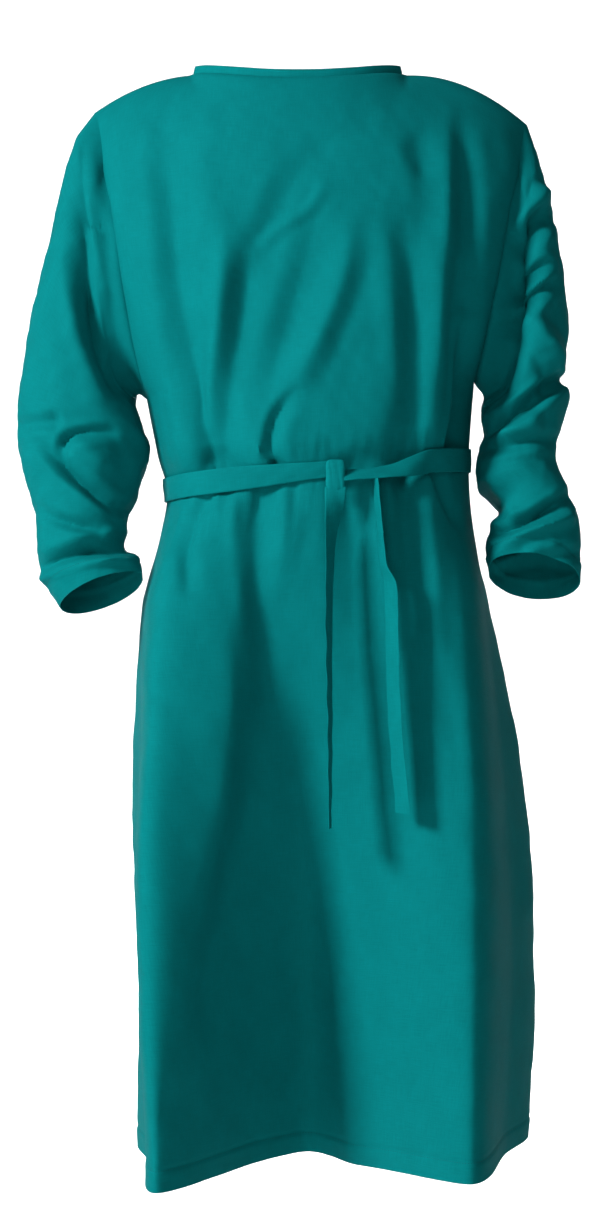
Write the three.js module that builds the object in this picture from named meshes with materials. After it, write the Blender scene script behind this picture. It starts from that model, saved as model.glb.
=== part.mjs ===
// Surgical gown in woven green cloth, as worn: a hollow, open garment with nothing inside it.
// Millimetres, +Z up. The wearer faces -Y and has the right arm at -X and the left arm at +X.
// The origin lies between the shoulder seams, level with the top of the neck binding.
import * as THREE from "three";

// Driving dimensions
const GOWN_LENGTH = 1164; // top of the neck binding to the hem
const UNDERARM_DROP = 345; // below the neck, as every drop here
const BELT_DROP = 437;
const BELT_RISE = 0.1; // the belt climbs this much for each millimetre towards +X
const BELT_RISE_REACH = 110; // how far above and below the belt the cloth is pulled askew with it
const CLOTH = 1.6; // wall thickness
const SEAM_GAP = 0.4; // between two pieces that are sewn together
const LYING_GAP = 0.9; // between the cloth and what lies on it

const NECK = { x: -13, y: 4, z: -7, halfWidth: 115 };
const NECK_BOW = { front: { y: -66, z: -14 }, back: { y: 70, z: 4 } }; // from the neck points to the middle
const SHOULDER_POINT = {
  right: { x: -231, y: 10, z: -46, crown: 8 },
  left: { x: 233, y: 10, z: -59, crown: 15 },
};
const NECK_SHARE = 0.5; // the part of a panel's top edge, each side of the middle, that is neckline
const SHOULDER_REACH = 150; // below this drop a section is level

// Sections of the body. Each runs through four stations a side, as [x, y]: the side seam or armhole edge,
// the front fold line, the middle of the front, and likewise the back corner and the middle of the back.
const BODY_SECTIONS = [
  { drop: 100, frontRight: [-118, -87], frontMiddle: [-10, -100], frontLeft: [104, -87],
    backRight: [-113, 92], backMiddle: [-2, 99], backLeft: [104, 92],
    frontEdgeRight: [-219, -28], frontEdgeLeft: [221, -28],
    backEdgeRight: [-217, 46], backEdgeLeft: [219, 46] },
  { drop: 200, frontRight: [-120, -112], frontMiddle: [-6, -124], frontLeft: [112, -112],
    backRight: [-116, 116], backMiddle: [0, 112], backLeft: [112, 116],
    frontEdgeRight: [-203, -50], frontEdgeLeft: [203, -50],
    backEdgeRight: [-201, 58], backEdgeLeft: [201, 58] },
  { drop: 280, frontRight: [-122, -117], frontMiddle: [-2, -130], frontLeft: [116, -117],
    backRight: [-120, 118], backMiddle: [0, 113], backLeft: [118, 118],
    frontEdgeRight: [-190, -42], frontEdgeLeft: [188, -42],
    backEdgeRight: [-189, 50], backEdgeLeft: [187, 50] },
  { drop: 318, frontRight: [-124, -113], frontMiddle: [-1, -131], frontLeft: [120, -113],
    backRight: [-124, 110], backMiddle: [0, 114], backLeft: [123, 110],
    frontEdgeRight: [-182, -28], frontEdgeLeft: [181, -28],
    backEdgeRight: [-182, 37], backEdgeLeft: [181, 37] },
  { drop: 338, frontRight: [-126, -110], frontMiddle: [0, -132], frontLeft: [123, -110],
    backRight: [-127, 104], backMiddle: [0, 114], backLeft: [127, 104],
    frontEdgeRight: [-177, -13], frontEdgeLeft: [177, -13],
    backEdgeRight: [-177, 23], backEdgeLeft: [177, 23] },
  { drop: UNDERARM_DROP, frontRight: [-126, -108], frontMiddle: [0, -132], frontLeft: [124, -108],
    backRight: [-128, 102], backMiddle: [0, 114], backLeft: [128, 102],
    sideRight: [-175, 6], sideLeft: [176, 6] },
  { drop: 400, frontRight: [-124, -104], frontMiddle: [0, -134], frontLeft: [126, -104],
    backRight: [-124, 98], backMiddle: [0, 114], backLeft: [128, 98],
    sideRight: [-163, 4], sideLeft: [172, 4] },
  { drop: BELT_DROP, frontRight: [-113, -93], frontMiddle: [2, -124], frontLeft: [118, -93],
    backRight: [-114, 86], backMiddle: [2, 108], backLeft: [122, 86],
    sideRight: [-153, 2], sideLeft: [170, 2] },
  { drop: 484, frontRight: [-121, -98], frontMiddle: [2, -122], frontLeft: [127, -98],
    backRight: [-122, 92], backMiddle: [2, 115], backLeft: [129, 92],
    sideRight: [-159, 2], sideLeft: [172, 2] },
  { drop: 569, frontRight: [-149, -123], frontMiddle: [-16, -114], frontLeft: [151, -112],
    backRight: [-167, 96], backMiddle: [4, 142], backLeft: [180, 100],
    sideRight: [-178, 0], sideLeft: [186, 2] },
  { drop: 783, frontRight: [-162, -166], frontMiddle: [-8, -72], frontLeft: [164, -134],
    backRight: [-184, 104], backMiddle: [6, 170], backLeft: [229, 120],
    sideRight: [-181, -14], sideLeft: [210, 2] },
  { drop: 997, frontRight: [-157, -186], frontMiddle: [-4, -14], frontLeft: [164, -147],
    backRight: [-178, 98], backMiddle: [8, 184], backLeft: [242, 136],
    sideRight: [-175, -24], sideLeft: [217, 4] },
  { drop: GOWN_LENGTH, frontRight: [-153, -193], frontMiddle: [0, 24], frontLeft: [162, -151],
    backRight: [-180, 95], backMiddle: [10, 190], backLeft: [236, 146],
    sideRight: [-171, -28], sideLeft: [208, 6] },
];
const STATION_AT = { corner: 0.55, edge: 1, ghost: 1.45 }; // place of the stations across a panel
const ACROSS_TENSION = 0.18; // 0 rounds a section fully, 1 leaves it straight between its stations
const DOWN_TENSION = 0.1;

// Largest folds, each a soft trough (depth below 0) or ridge along a line from one [x, z] to another,
// bowed sideways between its ends. Width and depth run from the first end to the second.
const FRONT_FOLDS = [
  { from: [-136, -90], to: [-118, -400], bow: -4, width: [18, 26], depth: [-4, -15] },
  { from: [2, -112], to: [-96, -410], bow: 22, width: [16, 22], depth: [-4, -11] },
  { from: [28, -145], to: [-34, -412], bow: 6, width: [12, 16], depth: [-3, -10] },
  { from: [84, -240], to: [97, -404], bow: 0, width: [16, 18], depth: [-4, -10] },
  { from: [146, -70], to: [128, -380], bow: 4, width: [13, 15], depth: [5, 8] },
  { from: [152, -290], to: [148, -396], bow: 0, width: [12, 15], depth: [-6, -12] },
  { from: [-106, -476], to: [-127, -575], bow: 8, width: [9, 14], depth: [-11, -5] },
  { from: [-50, -462], to: [-40, -600], bow: 4, width: [12, 28], depth: [-12, -9] },
  { from: [54, -462], to: [48, -690], bow: 0, width: [15, 26], depth: [-12, -4] },
  { from: [96, -468], to: [106, -700], bow: 0, width: [12, 16], depth: [5, 6] },
  { from: [124, -450], to: [134, -690], bow: 0, width: [12, 18], depth: [-12, -6] },
];
const BACK_FOLDS = [
  { from: [-96, -110], to: [-84, -408], bow: 0, width: [18, 22], depth: [-4, -11] },
  { from: [-30, -190], to: [-34, -410], bow: 0, width: [16, 18], depth: [-3, -9] },
  { from: [60, -150], to: [66, -410], bow: 0, width: [18, 18], depth: [-3, -10] },
  { from: [-98, -470], to: [-122, -980], bow: 0, width: [12, 38], depth: [-10, -16] },
  { from: [44, -466], to: [72, -1120], bow: 0, width: [14, 52], depth: [-11, -26] },
  { from: [120, -462], to: [168, -820], bow: 0, width: [12, 30], depth: [-10, -6] },
];

// Sections of the sleeves, from just below the armhole to the cuff: the outer and inner ends as [x, z],
// the depth of the middle, half the breadth from front to back, and the pitch that lifts the front edge.
const SLEEVE_SECTIONS = {
  right: [
    { outer: [-250, -75], inner: [-183, -350], y: 2, halfDepth: 58, pitch: 0 },
    { outer: [-263, -116], inner: [-184, -357], y: 2, halfDepth: 64, pitch: 0 },
    { outer: [-275, -170], inner: [-184, -365], y: 1, halfDepth: 67, pitch: 0 },
    { outer: [-289, -225], inner: [-182, -376], y: 0, halfDepth: 68, pitch: 0 },
    { outer: [-301, -278], inner: [-178, -388], y: 0, halfDepth: 67, pitch: 0 },
    { outer: [-308, -326], inner: [-172, -401], y: -1, halfDepth: 66, pitch: 0 },
    { outer: [-313, -370], inner: [-172, -418], y: -3, halfDepth: 64, pitch: 2 },
    { outer: [-311, -410], inner: [-179, -440], y: -6, halfDepth: 61, pitch: 4 },
    { outer: [-301, -448], inner: [-186, -464], y: -11, halfDepth: 58, pitch: 8 },
    { outer: [-291, -484], inner: [-193, -488], y: -17, halfDepth: 54, pitch: 11 },
    { outer: [-289, -520], inner: [-193, -508], y: -23, halfDepth: 51, pitch: 14 },
    { outer: [-284, -546], inner: [-181, -524], y: -28, halfDepth: 49, pitch: 17 },
    { outer: [-264, -577], inner: [-177, -546], y: -34, halfDepth: 46, pitch: 20 },
  ],
  left: [
    { outer: [244, -94], inner: [183, -350], y: 2, halfDepth: 58, pitch: 0 },
    { outer: [256, -140], inner: [185, -357], y: 2, halfDepth: 64, pitch: 0 },
    { outer: [266, -188], inner: [184, -365], y: 1, halfDepth: 66, pitch: 0 },
    { outer: [273, -240], inner: [183, -373], y: 0, halfDepth: 66, pitch: 0 },
    { outer: [277, -288], inner: [182, -383], y: -1, halfDepth: 64, pitch: 0 },
    { outer: [266, -331], inner: [180, -395], y: -3, halfDepth: 61, pitch: 1 },
    { outer: [277, -350], inner: [179, -408], y: -5, halfDepth: 62, pitch: 3 },
    { outer: [265, -398], inner: [177, -430], y: -9, halfDepth: 60, pitch: 6 },
    { outer: [263, -426], inner: [178, -451], y: -13, halfDepth: 58, pitch: 10 },
    { outer: [277, -458], inner: [199, -473], y: -18, halfDepth: 55, pitch: 15 },
    { outer: [286, -492], inner: [190, -492], y: -24, halfDepth: 54, pitch: 20 },
    { outer: [287, -524], inner: [186, -515], y: -29, halfDepth: 52, pitch: 24 },
    { outer: [285, -550], inner: [189, -538], y: -34, halfDepth: 50, pitch: 28 },
  ],
};
const SLEEVE_FOLDS = {
  right: [
    { from: [-286, -400], to: [-214, -478], bow: 4, width: [12, 14], depth: [-8, -9] },
    { from: [-250, -385], to: [-212, -374], bow: 6, width: [14, 16], depth: [-8, -7] },
    { from: [-238, -180], to: [-205, -345], bow: 0, width: [18, 26], depth: [-6, -13] },
    { from: [-276, -524], to: [-198, -505], bow: 6, width: [13, 14], depth: [-10, -12] },
  ],
  left: [
    { from: [246, -262], to: [192, -300], bow: 0, width: [13, 15], depth: [-9, -12] },
    { from: [256, -350], to: [196, -392], bow: -4, width: [13, 16], depth: [-10, -14] },
    { from: [262, -430], to: [206, -438], bow: 6, width: [13, 14], depth: [-8, -10] },
    { from: [278, -512], to: [206, -492], bow: 5, width: [12, 14], depth: [-9, -11] },
  ],
};

// Back opening: the wearer's left flap laps over the right one
const LAP = { atNeck: 0.1, atHem: 0.22, innerShift: 3.2, blend: 0.2 };

// Belt, tied with a half knot in front, and the ties that close the neck at the nape
const BELT = { width: 25, widthAtKnot: 17, thickness: 1.8, knotReach: 0.5 };
const KNOT = { x: 26, z: -442, width: 21, height: 32, depth: 9, corner: 6, roundOver: 2.5, overBelt: 5 };
const BELT_TWIST = { start: 0.62, end: 0.3, turn: 75, lift: 11 }; // across the front panel, towards the knot
const BELT_ENDS = {
  // A row for each station: the way down from the top, the shift to the side and back, and the turn
  right: [
    { down: 0, x: 0, y: 0, turn: 0 },
    { down: 18, x: -2, y: -3, turn: 25 },
    { down: 50, x: -6, y: -5, turn: 72 },
    { down: 140, x: -7, y: -7, turn: 80 },
    { down: 250, x: -5, y: -10, turn: 82 },
    { down: 348, x: -6, y: -14, turn: 98 },
  ],
  left: [
    { down: 0, x: 0, y: 0, turn: 78 },
    { down: 50, x: 3, y: -6, turn: 72 },
    { down: 112, x: 5, y: -12, turn: 68 },
    { down: 150, x: 11, y: -14, turn: 55 },
    { down: 250, x: 14, y: -15, turn: 55 },
    { down: 342, x: 22, y: -15, turn: 50 },
  ],
};
const BELT_END_WIDTH = 22;
const LEFT_END_AT = 0.335; // where the left belt end comes out from under the belt, across the front panel
const LEFT_END_BELOW = 3; // from the middle of the turned belt down to the top of that end
const BINDING = { height: 8, thickness: 2, lean: 0.2 };
const NECK_TIE = { width: 10, length: 130, startDrop: 3, from: 0.024, to: 0.07 };
const NECK_TIE_KNOT = { width: 22, height: 11, depth: 7, corner: 5, roundOver: 2 };

// Mesh density
const ARMHOLE_ROWS = 11;
const ROWS_BELOW = [
  { to: 484, steps: 7 },
  { to: GOWN_LENGTH, steps: 12 },
];
const COLUMNS = { shoulder: 7, frontNeck: 20, backNeck: 4, lap: 5 };
const SLEEVE_STEPS = 2; // rows for each sleeve section
const BELT_STEPS = { front: 26, back: 26 };
const STRAND_STEPS = 18;

const clamp01 = (value) => Math.min(Math.max(value, 0), 1);
const mix = (a, b, share) => a + (b - a) * share;
const smooth = (value) => clamp01(value) ** 2 * (3 - 2 * clamp01(value));
const range = (count) => Array.from({ length: count }, (_, i) => i);
const radians = THREE.MathUtils.degToRad;

// Cardinal spline through values at knots; at the knot numbered breakAt the slope looks ahead only
function spline(knots, values, at, tension, breakAt = -1) {
  let i = 0;
  while (i < knots.length - 2 && at > knots[i + 1]) i++;
  const span = knots[i + 1] - knots[i];
  const u = (at - knots[i]) / span;
  const slope = (j) => {
    const before = j === breakAt ? j : Math.max(j - 1, 0);
    const after = Math.min(j + 1, knots.length - 1);
    return ((1 - tension) * span * (values[after] - values[before])) / (knots[after] - knots[before]);
  };
  const rest = 1 - u;
  return (
    values[i] * (1 + 2 * u) * rest * rest +
    slope(i) * u * rest * rest +
    values[i + 1] * u * u * (3 - 2 * u) -
    slope(i + 1) * u * u * rest
  );
}

// Top edge of a panel: shoulder seam, neckline, shoulder seam, with across from -1 at -X to 1 at +X
function topEdge(across, isFront) {
  const toNeck = clamp01(Math.abs(across) / NECK_SHARE);
  const bowed = (1 - toNeck ** 2.2) ** 0.7;
  const point = new THREE.Vector3(
    NECK.x + NECK.halfWidth * toNeck * Math.sign(across),
    NECK.y + (isFront ? NECK_BOW.front : NECK_BOW.back).y * bowed,
    NECK.z + (isFront ? NECK_BOW.front : NECK_BOW.back).z * bowed * bowed,
  );
  const out = clamp01((Math.abs(across) - NECK_SHARE) / (1 - NECK_SHARE));
  const tip = across < 0 ? SHOULDER_POINT.right : SHOULDER_POINT.left;
  point.lerp(new THREE.Vector3(tip.x, tip.y, tip.z), out);
  point.z += tip.crown * 4 * out * (1 - out);
  return point;
}

// Stations of one section in order from -X to +X, with one more past each edge so that the panels join smoothly
function stationsOf(section, isFront) {
  const near = isFront ? "front" : "back";
  const far = isFront ? "back" : "front";
  return [
    section[far + "Right"],
    section[near + "EdgeRight"] ?? section.sideRight,
    section[near + "Right"],
    section[near + "Middle"],
    section[near + "Left"],
    section[near + "EdgeLeft"] ?? section.sideLeft,
    section[far + "Left"],
  ];
}

const STATION_SIDE = [STATION_AT.corner, STATION_AT.edge, STATION_AT.ghost];
const STATION_KNOTS = [...STATION_SIDE.map((place) => -place).reverse(), 0, ...STATION_SIDE];
const SECTION_DROPS = BODY_SECTIONS.map((section) => section.drop);
const UNDERARM_KNOT = SECTION_DROPS.indexOf(UNDERARM_DROP);

// The cloth rounds over the shoulder: level at the top edge, steep at the first section
const overShoulder = (share) =>
  0.4 * Math.sin((share * Math.PI) / 2) + 0.4 * Math.sqrt(share * (2 - share)) + 0.2 * share;

// Point of the smooth body without its folds
function bodyPoint(across, drop, isFront) {
  const top = topEdge(across, isFront);
  const inSection = (section, axis) => {
    const values = stationsOf(section, isFront).map((station) => station[axis]);
    return spline(STATION_KNOTS, values, across, ACROSS_TENSION);
  };
  const down = (topValue, axis) => {
    const values = BODY_SECTIONS.map((section) => inSection(section, axis));
    if (drop < SECTION_DROPS[0]) return mix(topValue, values[0], overShoulder(drop / SECTION_DROPS[0]));
    return spline(SECTION_DROPS, values, drop, DOWN_TENSION, UNDERARM_KNOT);
  };
  const x = down(top.x, 0);
  const y = down(top.y, 1);
  const askew = BELT_RISE * x * Math.exp(-(((drop - BELT_DROP) / BELT_RISE_REACH) ** 2));
  return new THREE.Vector3(x, y, top.z * (1 - clamp01(drop / SHOULDER_REACH)) - drop + askew);
}

// Height of the folds at a point seen from the front, summed over a table of folds
function foldHeight(folds, x, z) {
  return folds.reduce((sum, fold) => {
    const [dx, dz] = [fold.to[0] - fold.from[0], fold.to[1] - fold.from[1]];
    const long = Math.hypot(dx, dz);
    const along = ((x - fold.from[0]) * dx + (z - fold.from[1]) * dz) / long;
    const share = clamp01(along / long);
    const bow = fold.bow * 4 * share * (1 - share);
    const aside = ((x - fold.from[0]) * dz - (z - fold.from[1]) * dx) / long - bow;
    const away = Math.hypot(aside, along - share * long) / mix(fold.width[0], fold.width[1], share);
    return sum + mix(fold.depth[0], fold.depth[1], share) * Math.exp(-away * away);
  }, 0);
}

// Unit normals of a grid, pointing out of a garment whose columns run counterclockwise seen from above
function gridNormals(grid, closed) {
  const last = grid[0].length - 1;
  const column = (row, j) => (closed ? row[(j + last + 1) % (last + 1)] : row[Math.min(Math.max(j, 0), last)]);
  return grid.map((row, i) =>
    row.map((_, j) => {
      const above = grid[Math.max(i - 1, 0)][j];
      const below = grid[Math.min(i + 1, grid.length - 1)][j];
      const along = column(row, j + 1).clone().sub(column(row, j - 1));
      return below.clone().sub(above).cross(along).normalize();
    }),
  );
}

// Moves a grid's points along its normals by the folds that reach them; keep fades the folds out at the seams
function addFolds(grid, normals, folds, keep) {
  grid.forEach((row, i) =>
    row.forEach((point, j) => {
      const height = foldHeight(folds, point.x, point.z) * keep(i, j);
      point.addScaledVector(normals[i][j], height);
    }),
  );
}

// Drops of the rows: closer together at the shoulder and the underarm, where the armhole turns
const armholeShare = (i) => (1 - Math.cos((Math.PI * i) / ARMHOLE_ROWS)) / 2;
const rowDrops = range(ARMHOLE_ROWS + 1).map((i) => UNDERARM_DROP * armholeShare(i));
for (const { to, steps } of ROWS_BELOW) {
  const from = rowDrops.at(-1);
  for (const i of range(steps)) rowDrops.push(mix(from, to, (i + 1) / steps));
}

// A panel as a grid of points, its columns spread in stretches between places that can move with the drop
function panelGrid(isFront, folds, acrossAtDrop) {
  const across = rowDrops.map(acrossAtDrop);
  const grid = rowDrops.map((drop, i) => across[i].map((place) => bodyPoint(place, drop, isFront)));
  const seamFade = (i, j) => (1 - across[i][j] ** 6) * smooth(rowDrops[i] / SHOULDER_REACH);
  const normals = gridNormals(isFront ? grid : grid.map((row) => [...row].reverse()), false);
  addFolds(grid, isFront ? normals : normals.map((row) => row.reverse()), folds, seamFade);
  return isFront ? grid : grid.map((row) => row.reverse());
}

const lapAt = (drop) => mix(LAP.atNeck, LAP.atHem, drop / GOWN_LENGTH);
const places = (from, to, steps) => range(steps + 1).map((k) => mix(from, to, k / steps));
const chain = (first, ...others) => [...first, ...others.flatMap((stretch) => stretch.slice(1))];
const rightShoulder = places(-1, -NECK_SHARE, COLUMNS.shoulder);
const leftShoulder = places(NECK_SHARE, 1, COLUMNS.shoulder);
const frontAcross = chain(rightShoulder, places(-NECK_SHARE, NECK_SHARE, COLUMNS.frontNeck), leftShoulder);
const lapAcross = (drop) => places(-lapAt(drop), lapAt(drop), COLUMNS.lap);
const backLeftAcross = (drop) =>
  chain(lapAcross(drop), places(lapAt(drop), NECK_SHARE, COLUMNS.backNeck), leftShoulder);
const backRightAcross = (drop) =>
  chain(rightShoulder, places(-NECK_SHARE, -lapAt(drop), COLUMNS.backNeck), lapAcross(drop));
const front = panelGrid(true, FRONT_FOLDS, () => frontAcross);
const backLeft = panelGrid(false, BACK_FOLDS, backLeftAcross);
const backRight = panelGrid(false, BACK_FOLDS, backRightAcross);

// The right flap is moved in where the left one laps over it
const innerNormals = gridNormals(backRight, false);
backRight.forEach((row, i) => {
  const lap = lapAt(rowDrops[i]);
  const across = backRightAcross(rowDrops[i]).reverse();
  row.forEach((point, j) => {
    const share = smooth((across[j] + lap + LAP.blend) / (LAP.blend * 0.75));
    point.addScaledVector(innerNormals[i][j], -LAP.innerShift * share);
  });
});

// Armhole as a ring of the panels' own edge points, from the shoulder down the front and up the back
function armholeRing(side) {
  const frontEdge = front.slice(0, ARMHOLE_ROWS + 1).map((row) => (side === "right" ? row[0] : row.at(-1)));
  const backEdge = (side === "right" ? backRight : backLeft)
    .slice(0, ARMHOLE_ROWS + 1)
    .map((row) => (side === "right" ? row.at(-1) : row[0]));
  const ring = [...frontEdge, ...backEdge.slice(1, -1).reverse()];
  return side === "right" ? ring : [ring[0], ...ring.slice(1).reverse()];
}

// Point of a sleeve section, with turn from 0 at the outer end, a quarter turn at the front
function sleeveSectionPoint(section, turn) {
  const [outer, inner] = [section.outer, section.inner];
  const reach = Math.cos(turn);
  const forward = Math.sin(turn) * section.halfDepth;
  return new THREE.Vector3(
    mix(inner[0], outer[0], (1 + reach) / 2),
    section.y - forward * Math.cos(radians(section.pitch)),
    mix(inner[1], outer[1], (1 + reach) / 2) + forward * Math.sin(radians(section.pitch)),
  );
}

function sleeveGrid(side) {
  const armhole = armholeRing(side);
  const sections = SLEEVE_SECTIONS[side];
  const forwardFirst = side === "right" ? 1 : -1;
  const rings = [
    armhole,
    ...sections.map((section) =>
      armhole.map((_, j) => sleeveSectionPoint(section, (forwardFirst * 2 * Math.PI * j) / armhole.length)),
    ),
  ];
  const knots = range(rings.length);
  const grid = range(sections.length * SLEEVE_STEPS + 1).map((row) =>
    armhole.map((_, j) => {
      const through = (axis) => rings.map((ring) => ring[j][axis]);
      const along = (axis) => spline(knots, through(axis), row / SLEEVE_STEPS, DOWN_TENSION);
      return new THREE.Vector3(along("x"), along("y"), along("z"));
    }),
  );
  const normals = gridNormals(grid, true);
  const onFront = (i, j) => smooth(0.5 - normals[i][j].y * 1.4) * smooth((i - 1) / 3);
  addFolds(grid, normals, SLEEVE_FOLDS[side], onFront);
  return grid;
}

const sleeves = { right: sleeveGrid("right"), left: sleeveGrid("left") };

// Seams: pieces that share an edge point take the same wall direction there and draw back by half the gap
const pieces = [
  { name: "front_panel", grid: front, closed: false },
  { name: "back_panel_right", grid: backRight, closed: false },
  { name: "back_panel_left", grid: backLeft, closed: false },
  { name: "sleeve_right", grid: sleeves.right, closed: true },
  { name: "sleeve_left", grid: sleeves.left, closed: true },
];
const keyOf = (point) => point.toArray().map((value) => value.toFixed(3)).join();
const meeting = new Map();
for (const piece of pieces) {
  piece.normals = gridNormals(piece.grid, piece.closed);
  piece.grid.forEach((row, i) =>
    row.forEach((point, j) => {
      const fresh = { body: new THREE.Vector3(), sleeve: new THREE.Vector3(), owners: new Set() };
      const shared = meeting.get(keyOf(point)) ?? fresh;
      (piece.closed ? shared.sleeve : shared.body).add(piece.normals[i][j]);
      shared.owners.add(piece.name);
      meeting.set(keyOf(point), shared);
    }),
  );
}

// Closed solid between an outer and an inner grid of points
function wall(outer, inner, closed) {
  const columns = outer[0].length;
  const rows = outer.length;
  const points = [...outer.flat(), ...inner.flat()];
  const out = (i, j) => i * columns + (j % columns);
  const into = (i, j) => out(i, j) + rows * columns;
  const triangles = [];
  const quad = (a, b, c, d) => triangles.push(a, b, c, a, c, d);
  const lastColumn = closed ? columns : columns - 1;
  for (const i of range(rows - 1)) {
    for (const j of range(lastColumn)) {
      quad(out(i, j), out(i + 1, j), out(i + 1, j + 1), out(i, j + 1));
      quad(into(i, j), into(i, j + 1), into(i + 1, j + 1), into(i + 1, j));
    }
    if (closed) continue;
    quad(out(i + 1, 0), out(i, 0), into(i, 0), into(i + 1, 0));
    quad(out(i, lastColumn), out(i + 1, lastColumn), into(i + 1, lastColumn), into(i, lastColumn));
  }
  for (const j of range(lastColumn)) {
    quad(out(0, j), out(0, j + 1), into(0, j + 1), into(0, j));
    quad(out(rows - 1, j + 1), out(rows - 1, j), into(rows - 1, j), into(rows - 1, j + 1));
  }
  const geometry = new THREE.BufferGeometry();
  geometry.setAttribute("position", new THREE.Float32BufferAttribute(points.flatMap((p) => p.toArray()), 3));
  geometry.setIndex(triangles);
  geometry.computeVertexNormals();
  return geometry;
}

// Cloth wall of a sewn piece, its outer face on the grid
function clothGeometry({ name, grid, normals, closed }) {
  const last = { row: grid.length - 1, column: grid[0].length - 1 };
  const isSeam = (point) => [...meeting.get(keyOf(point)).owners].some((owner) => owner !== name);
  const outer = grid.map((row, i) =>
    row.map((point, j) => {
      const placed = point.clone();
      const drawTo = (neighbour) =>
        placed.addScaledVector(neighbour.clone().sub(point).normalize(), SEAM_GAP / 2);
      if (isSeam(point)) {
        const neighbours = [];
        if (i === 0) neighbours.push(grid[1][j]);
        if (i === last.row) neighbours.push(grid[i - 1][j]);
        if (!closed && j === 0) neighbours.push(row[1]);
        if (!closed && j === last.column) neighbours.push(row[j - 1]);
        neighbours.forEach(drawTo);
      }
      return placed;
    }),
  );
  const inner = outer.map((row, i) =>
    row.map((point, j) => {
      const { body, sleeve } = meeting.get(keyOf(grid[i][j]));
      const shared = body.clone().normalize().add(sleeve.clone().normalize()).normalize();
      return point.clone().addScaledVector(isSeam(grid[i][j]) ? shared : normals[i][j], -CLOTH);
    }),
  );
  return wall(outer, inner, closed);
}

// Flat strip along frames of a centre, a direction across and a direction out of its face
function strip(frames, thickness) {
  const face = (side) =>
    frames.map(({ centre, across, out, width }) =>
      [-0.5, 0.5].map((end) =>
        centre.clone().addScaledVector(across, end * width).addScaledVector(out, (side * thickness) / 2),
      ),
    );
  const geometry = wall(face(1), face(-1), false);
  return insideOut(geometry) ? flipped(geometry) : geometry;
}

function insideOut(geometry) {
  const position = geometry.getAttribute("position");
  const corner = (k) => new THREE.Vector3().fromBufferAttribute(position, geometry.index.array[k]);
  let volume = 0;
  for (let k = 0; k < geometry.index.count; k += 3) volume += corner(k).dot(corner(k + 1).cross(corner(k + 2)));
  return volume < 0;
}

function flipped(geometry) {
  const index = geometry.index.array;
  for (let k = 0; k < index.length; k += 3) [index[k], index[k + 1]] = [index[k + 1], index[k]];
  geometry.computeVertexNormals();
  return geometry;
}

// Frame of the belt at a place on the body: its edges are the cloth's own points, moved out
function beltFrame(across, isFront, width) {
  const upper = bodyPoint(across, BELT_DROP - width / 2, isFront);
  const lower = bodyPoint(across, BELT_DROP + width / 2, isFront);
  const step = 0.01;
  const along = bodyPoint(across + step, BELT_DROP, isFront).sub(bodyPoint(across - step, BELT_DROP, isFront));
  const up = upper.clone().sub(lower).normalize();
  const out = along.cross(up).multiplyScalar(isFront ? 1 : -1).normalize();
  const centre = upper.add(lower).multiplyScalar(0.5).addScaledVector(out, LYING_GAP + BELT.thickness / 2);
  return { centre, across: up, out, width };
}

// The belt narrows towards the knot and, on the wearer's left, turns its upper edge forward as it comes to it
function beltFrameInFront(across, knotEdge, twisted) {
  const near = 1 - smooth(Math.abs(across - knotEdge) / BELT.knotReach);
  const frame = beltFrame(across, true, mix(BELT.width, BELT.widthAtKnot, near));
  if (!twisted) return frame;
  const share = smooth((BELT_TWIST.start - across) / (BELT_TWIST.start - BELT_TWIST.end));
  const turn = radians(BELT_TWIST.turn) * share;
  const [up, out] = [frame.across.clone(), frame.out.clone()];
  frame.centre.addScaledVector(out, BELT_TWIST.lift * share);
  frame.across = up.clone().multiplyScalar(Math.cos(turn)).addScaledVector(out, Math.sin(turn));
  frame.out = out.clone().multiplyScalar(Math.cos(turn)).addScaledVector(up, -Math.sin(turn));
  return frame;
}

// Place across the front panel where the belt line has a given x
function acrossAt(x) {
  let [low, high] = [-1, 1];
  for (const _ of range(30)) {
    const middle = (low + high) / 2;
    if (bodyPoint(middle, BELT_DROP, true).x < x) low = middle;
    else high = middle;
  }
  return low;
}

// The belt runs in under the knot from the wearer's right and up to its side from the left
const knotEdges = {
  right: acrossAt(KNOT.x - KNOT.width / 2 + KNOT.overBelt),
  left: acrossAt(KNOT.x + KNOT.width / 2 + SEAM_GAP),
};
const beltFrames = [
  ...places(knotEdges.right, -1, BELT_STEPS.front).map((a) => beltFrameInFront(a, knotEdges.right, false)),
  ...places(-1, 1, BELT_STEPS.back).slice(1).map((a) => beltFrame(a, false, BELT.width)),
  ...places(1, knotEdges.left, BELT_STEPS.front).slice(1).map((a) => beltFrameInFront(a, knotEdges.left, true)),
];

// Half knot: a rounded band across the belt, its back just clear of the cloth
function bandGeometry({ width, height, depth, corner, roundOver }) {
  const [w, h] = [width / 2 - roundOver, height / 2 - roundOver];
  const r = corner - roundOver;
  const outline = new THREE.Shape();
  outline.absarc(w - r, h - r, r, 0, Math.PI / 2);
  outline.absarc(r - w, h - r, r, Math.PI / 2, Math.PI);
  outline.absarc(r - w, r - h, r, Math.PI, 1.5 * Math.PI);
  outline.absarc(w - r, r - h, r, 1.5 * Math.PI, 2 * Math.PI);
  return new THREE.ExtrudeGeometry(outline, {
    depth: depth - 2 * roundOver,
    bevelThickness: roundOver,
    bevelSize: roundOver,
    bevelSegments: 2,
    curveSegments: 3,
  });
}

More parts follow.
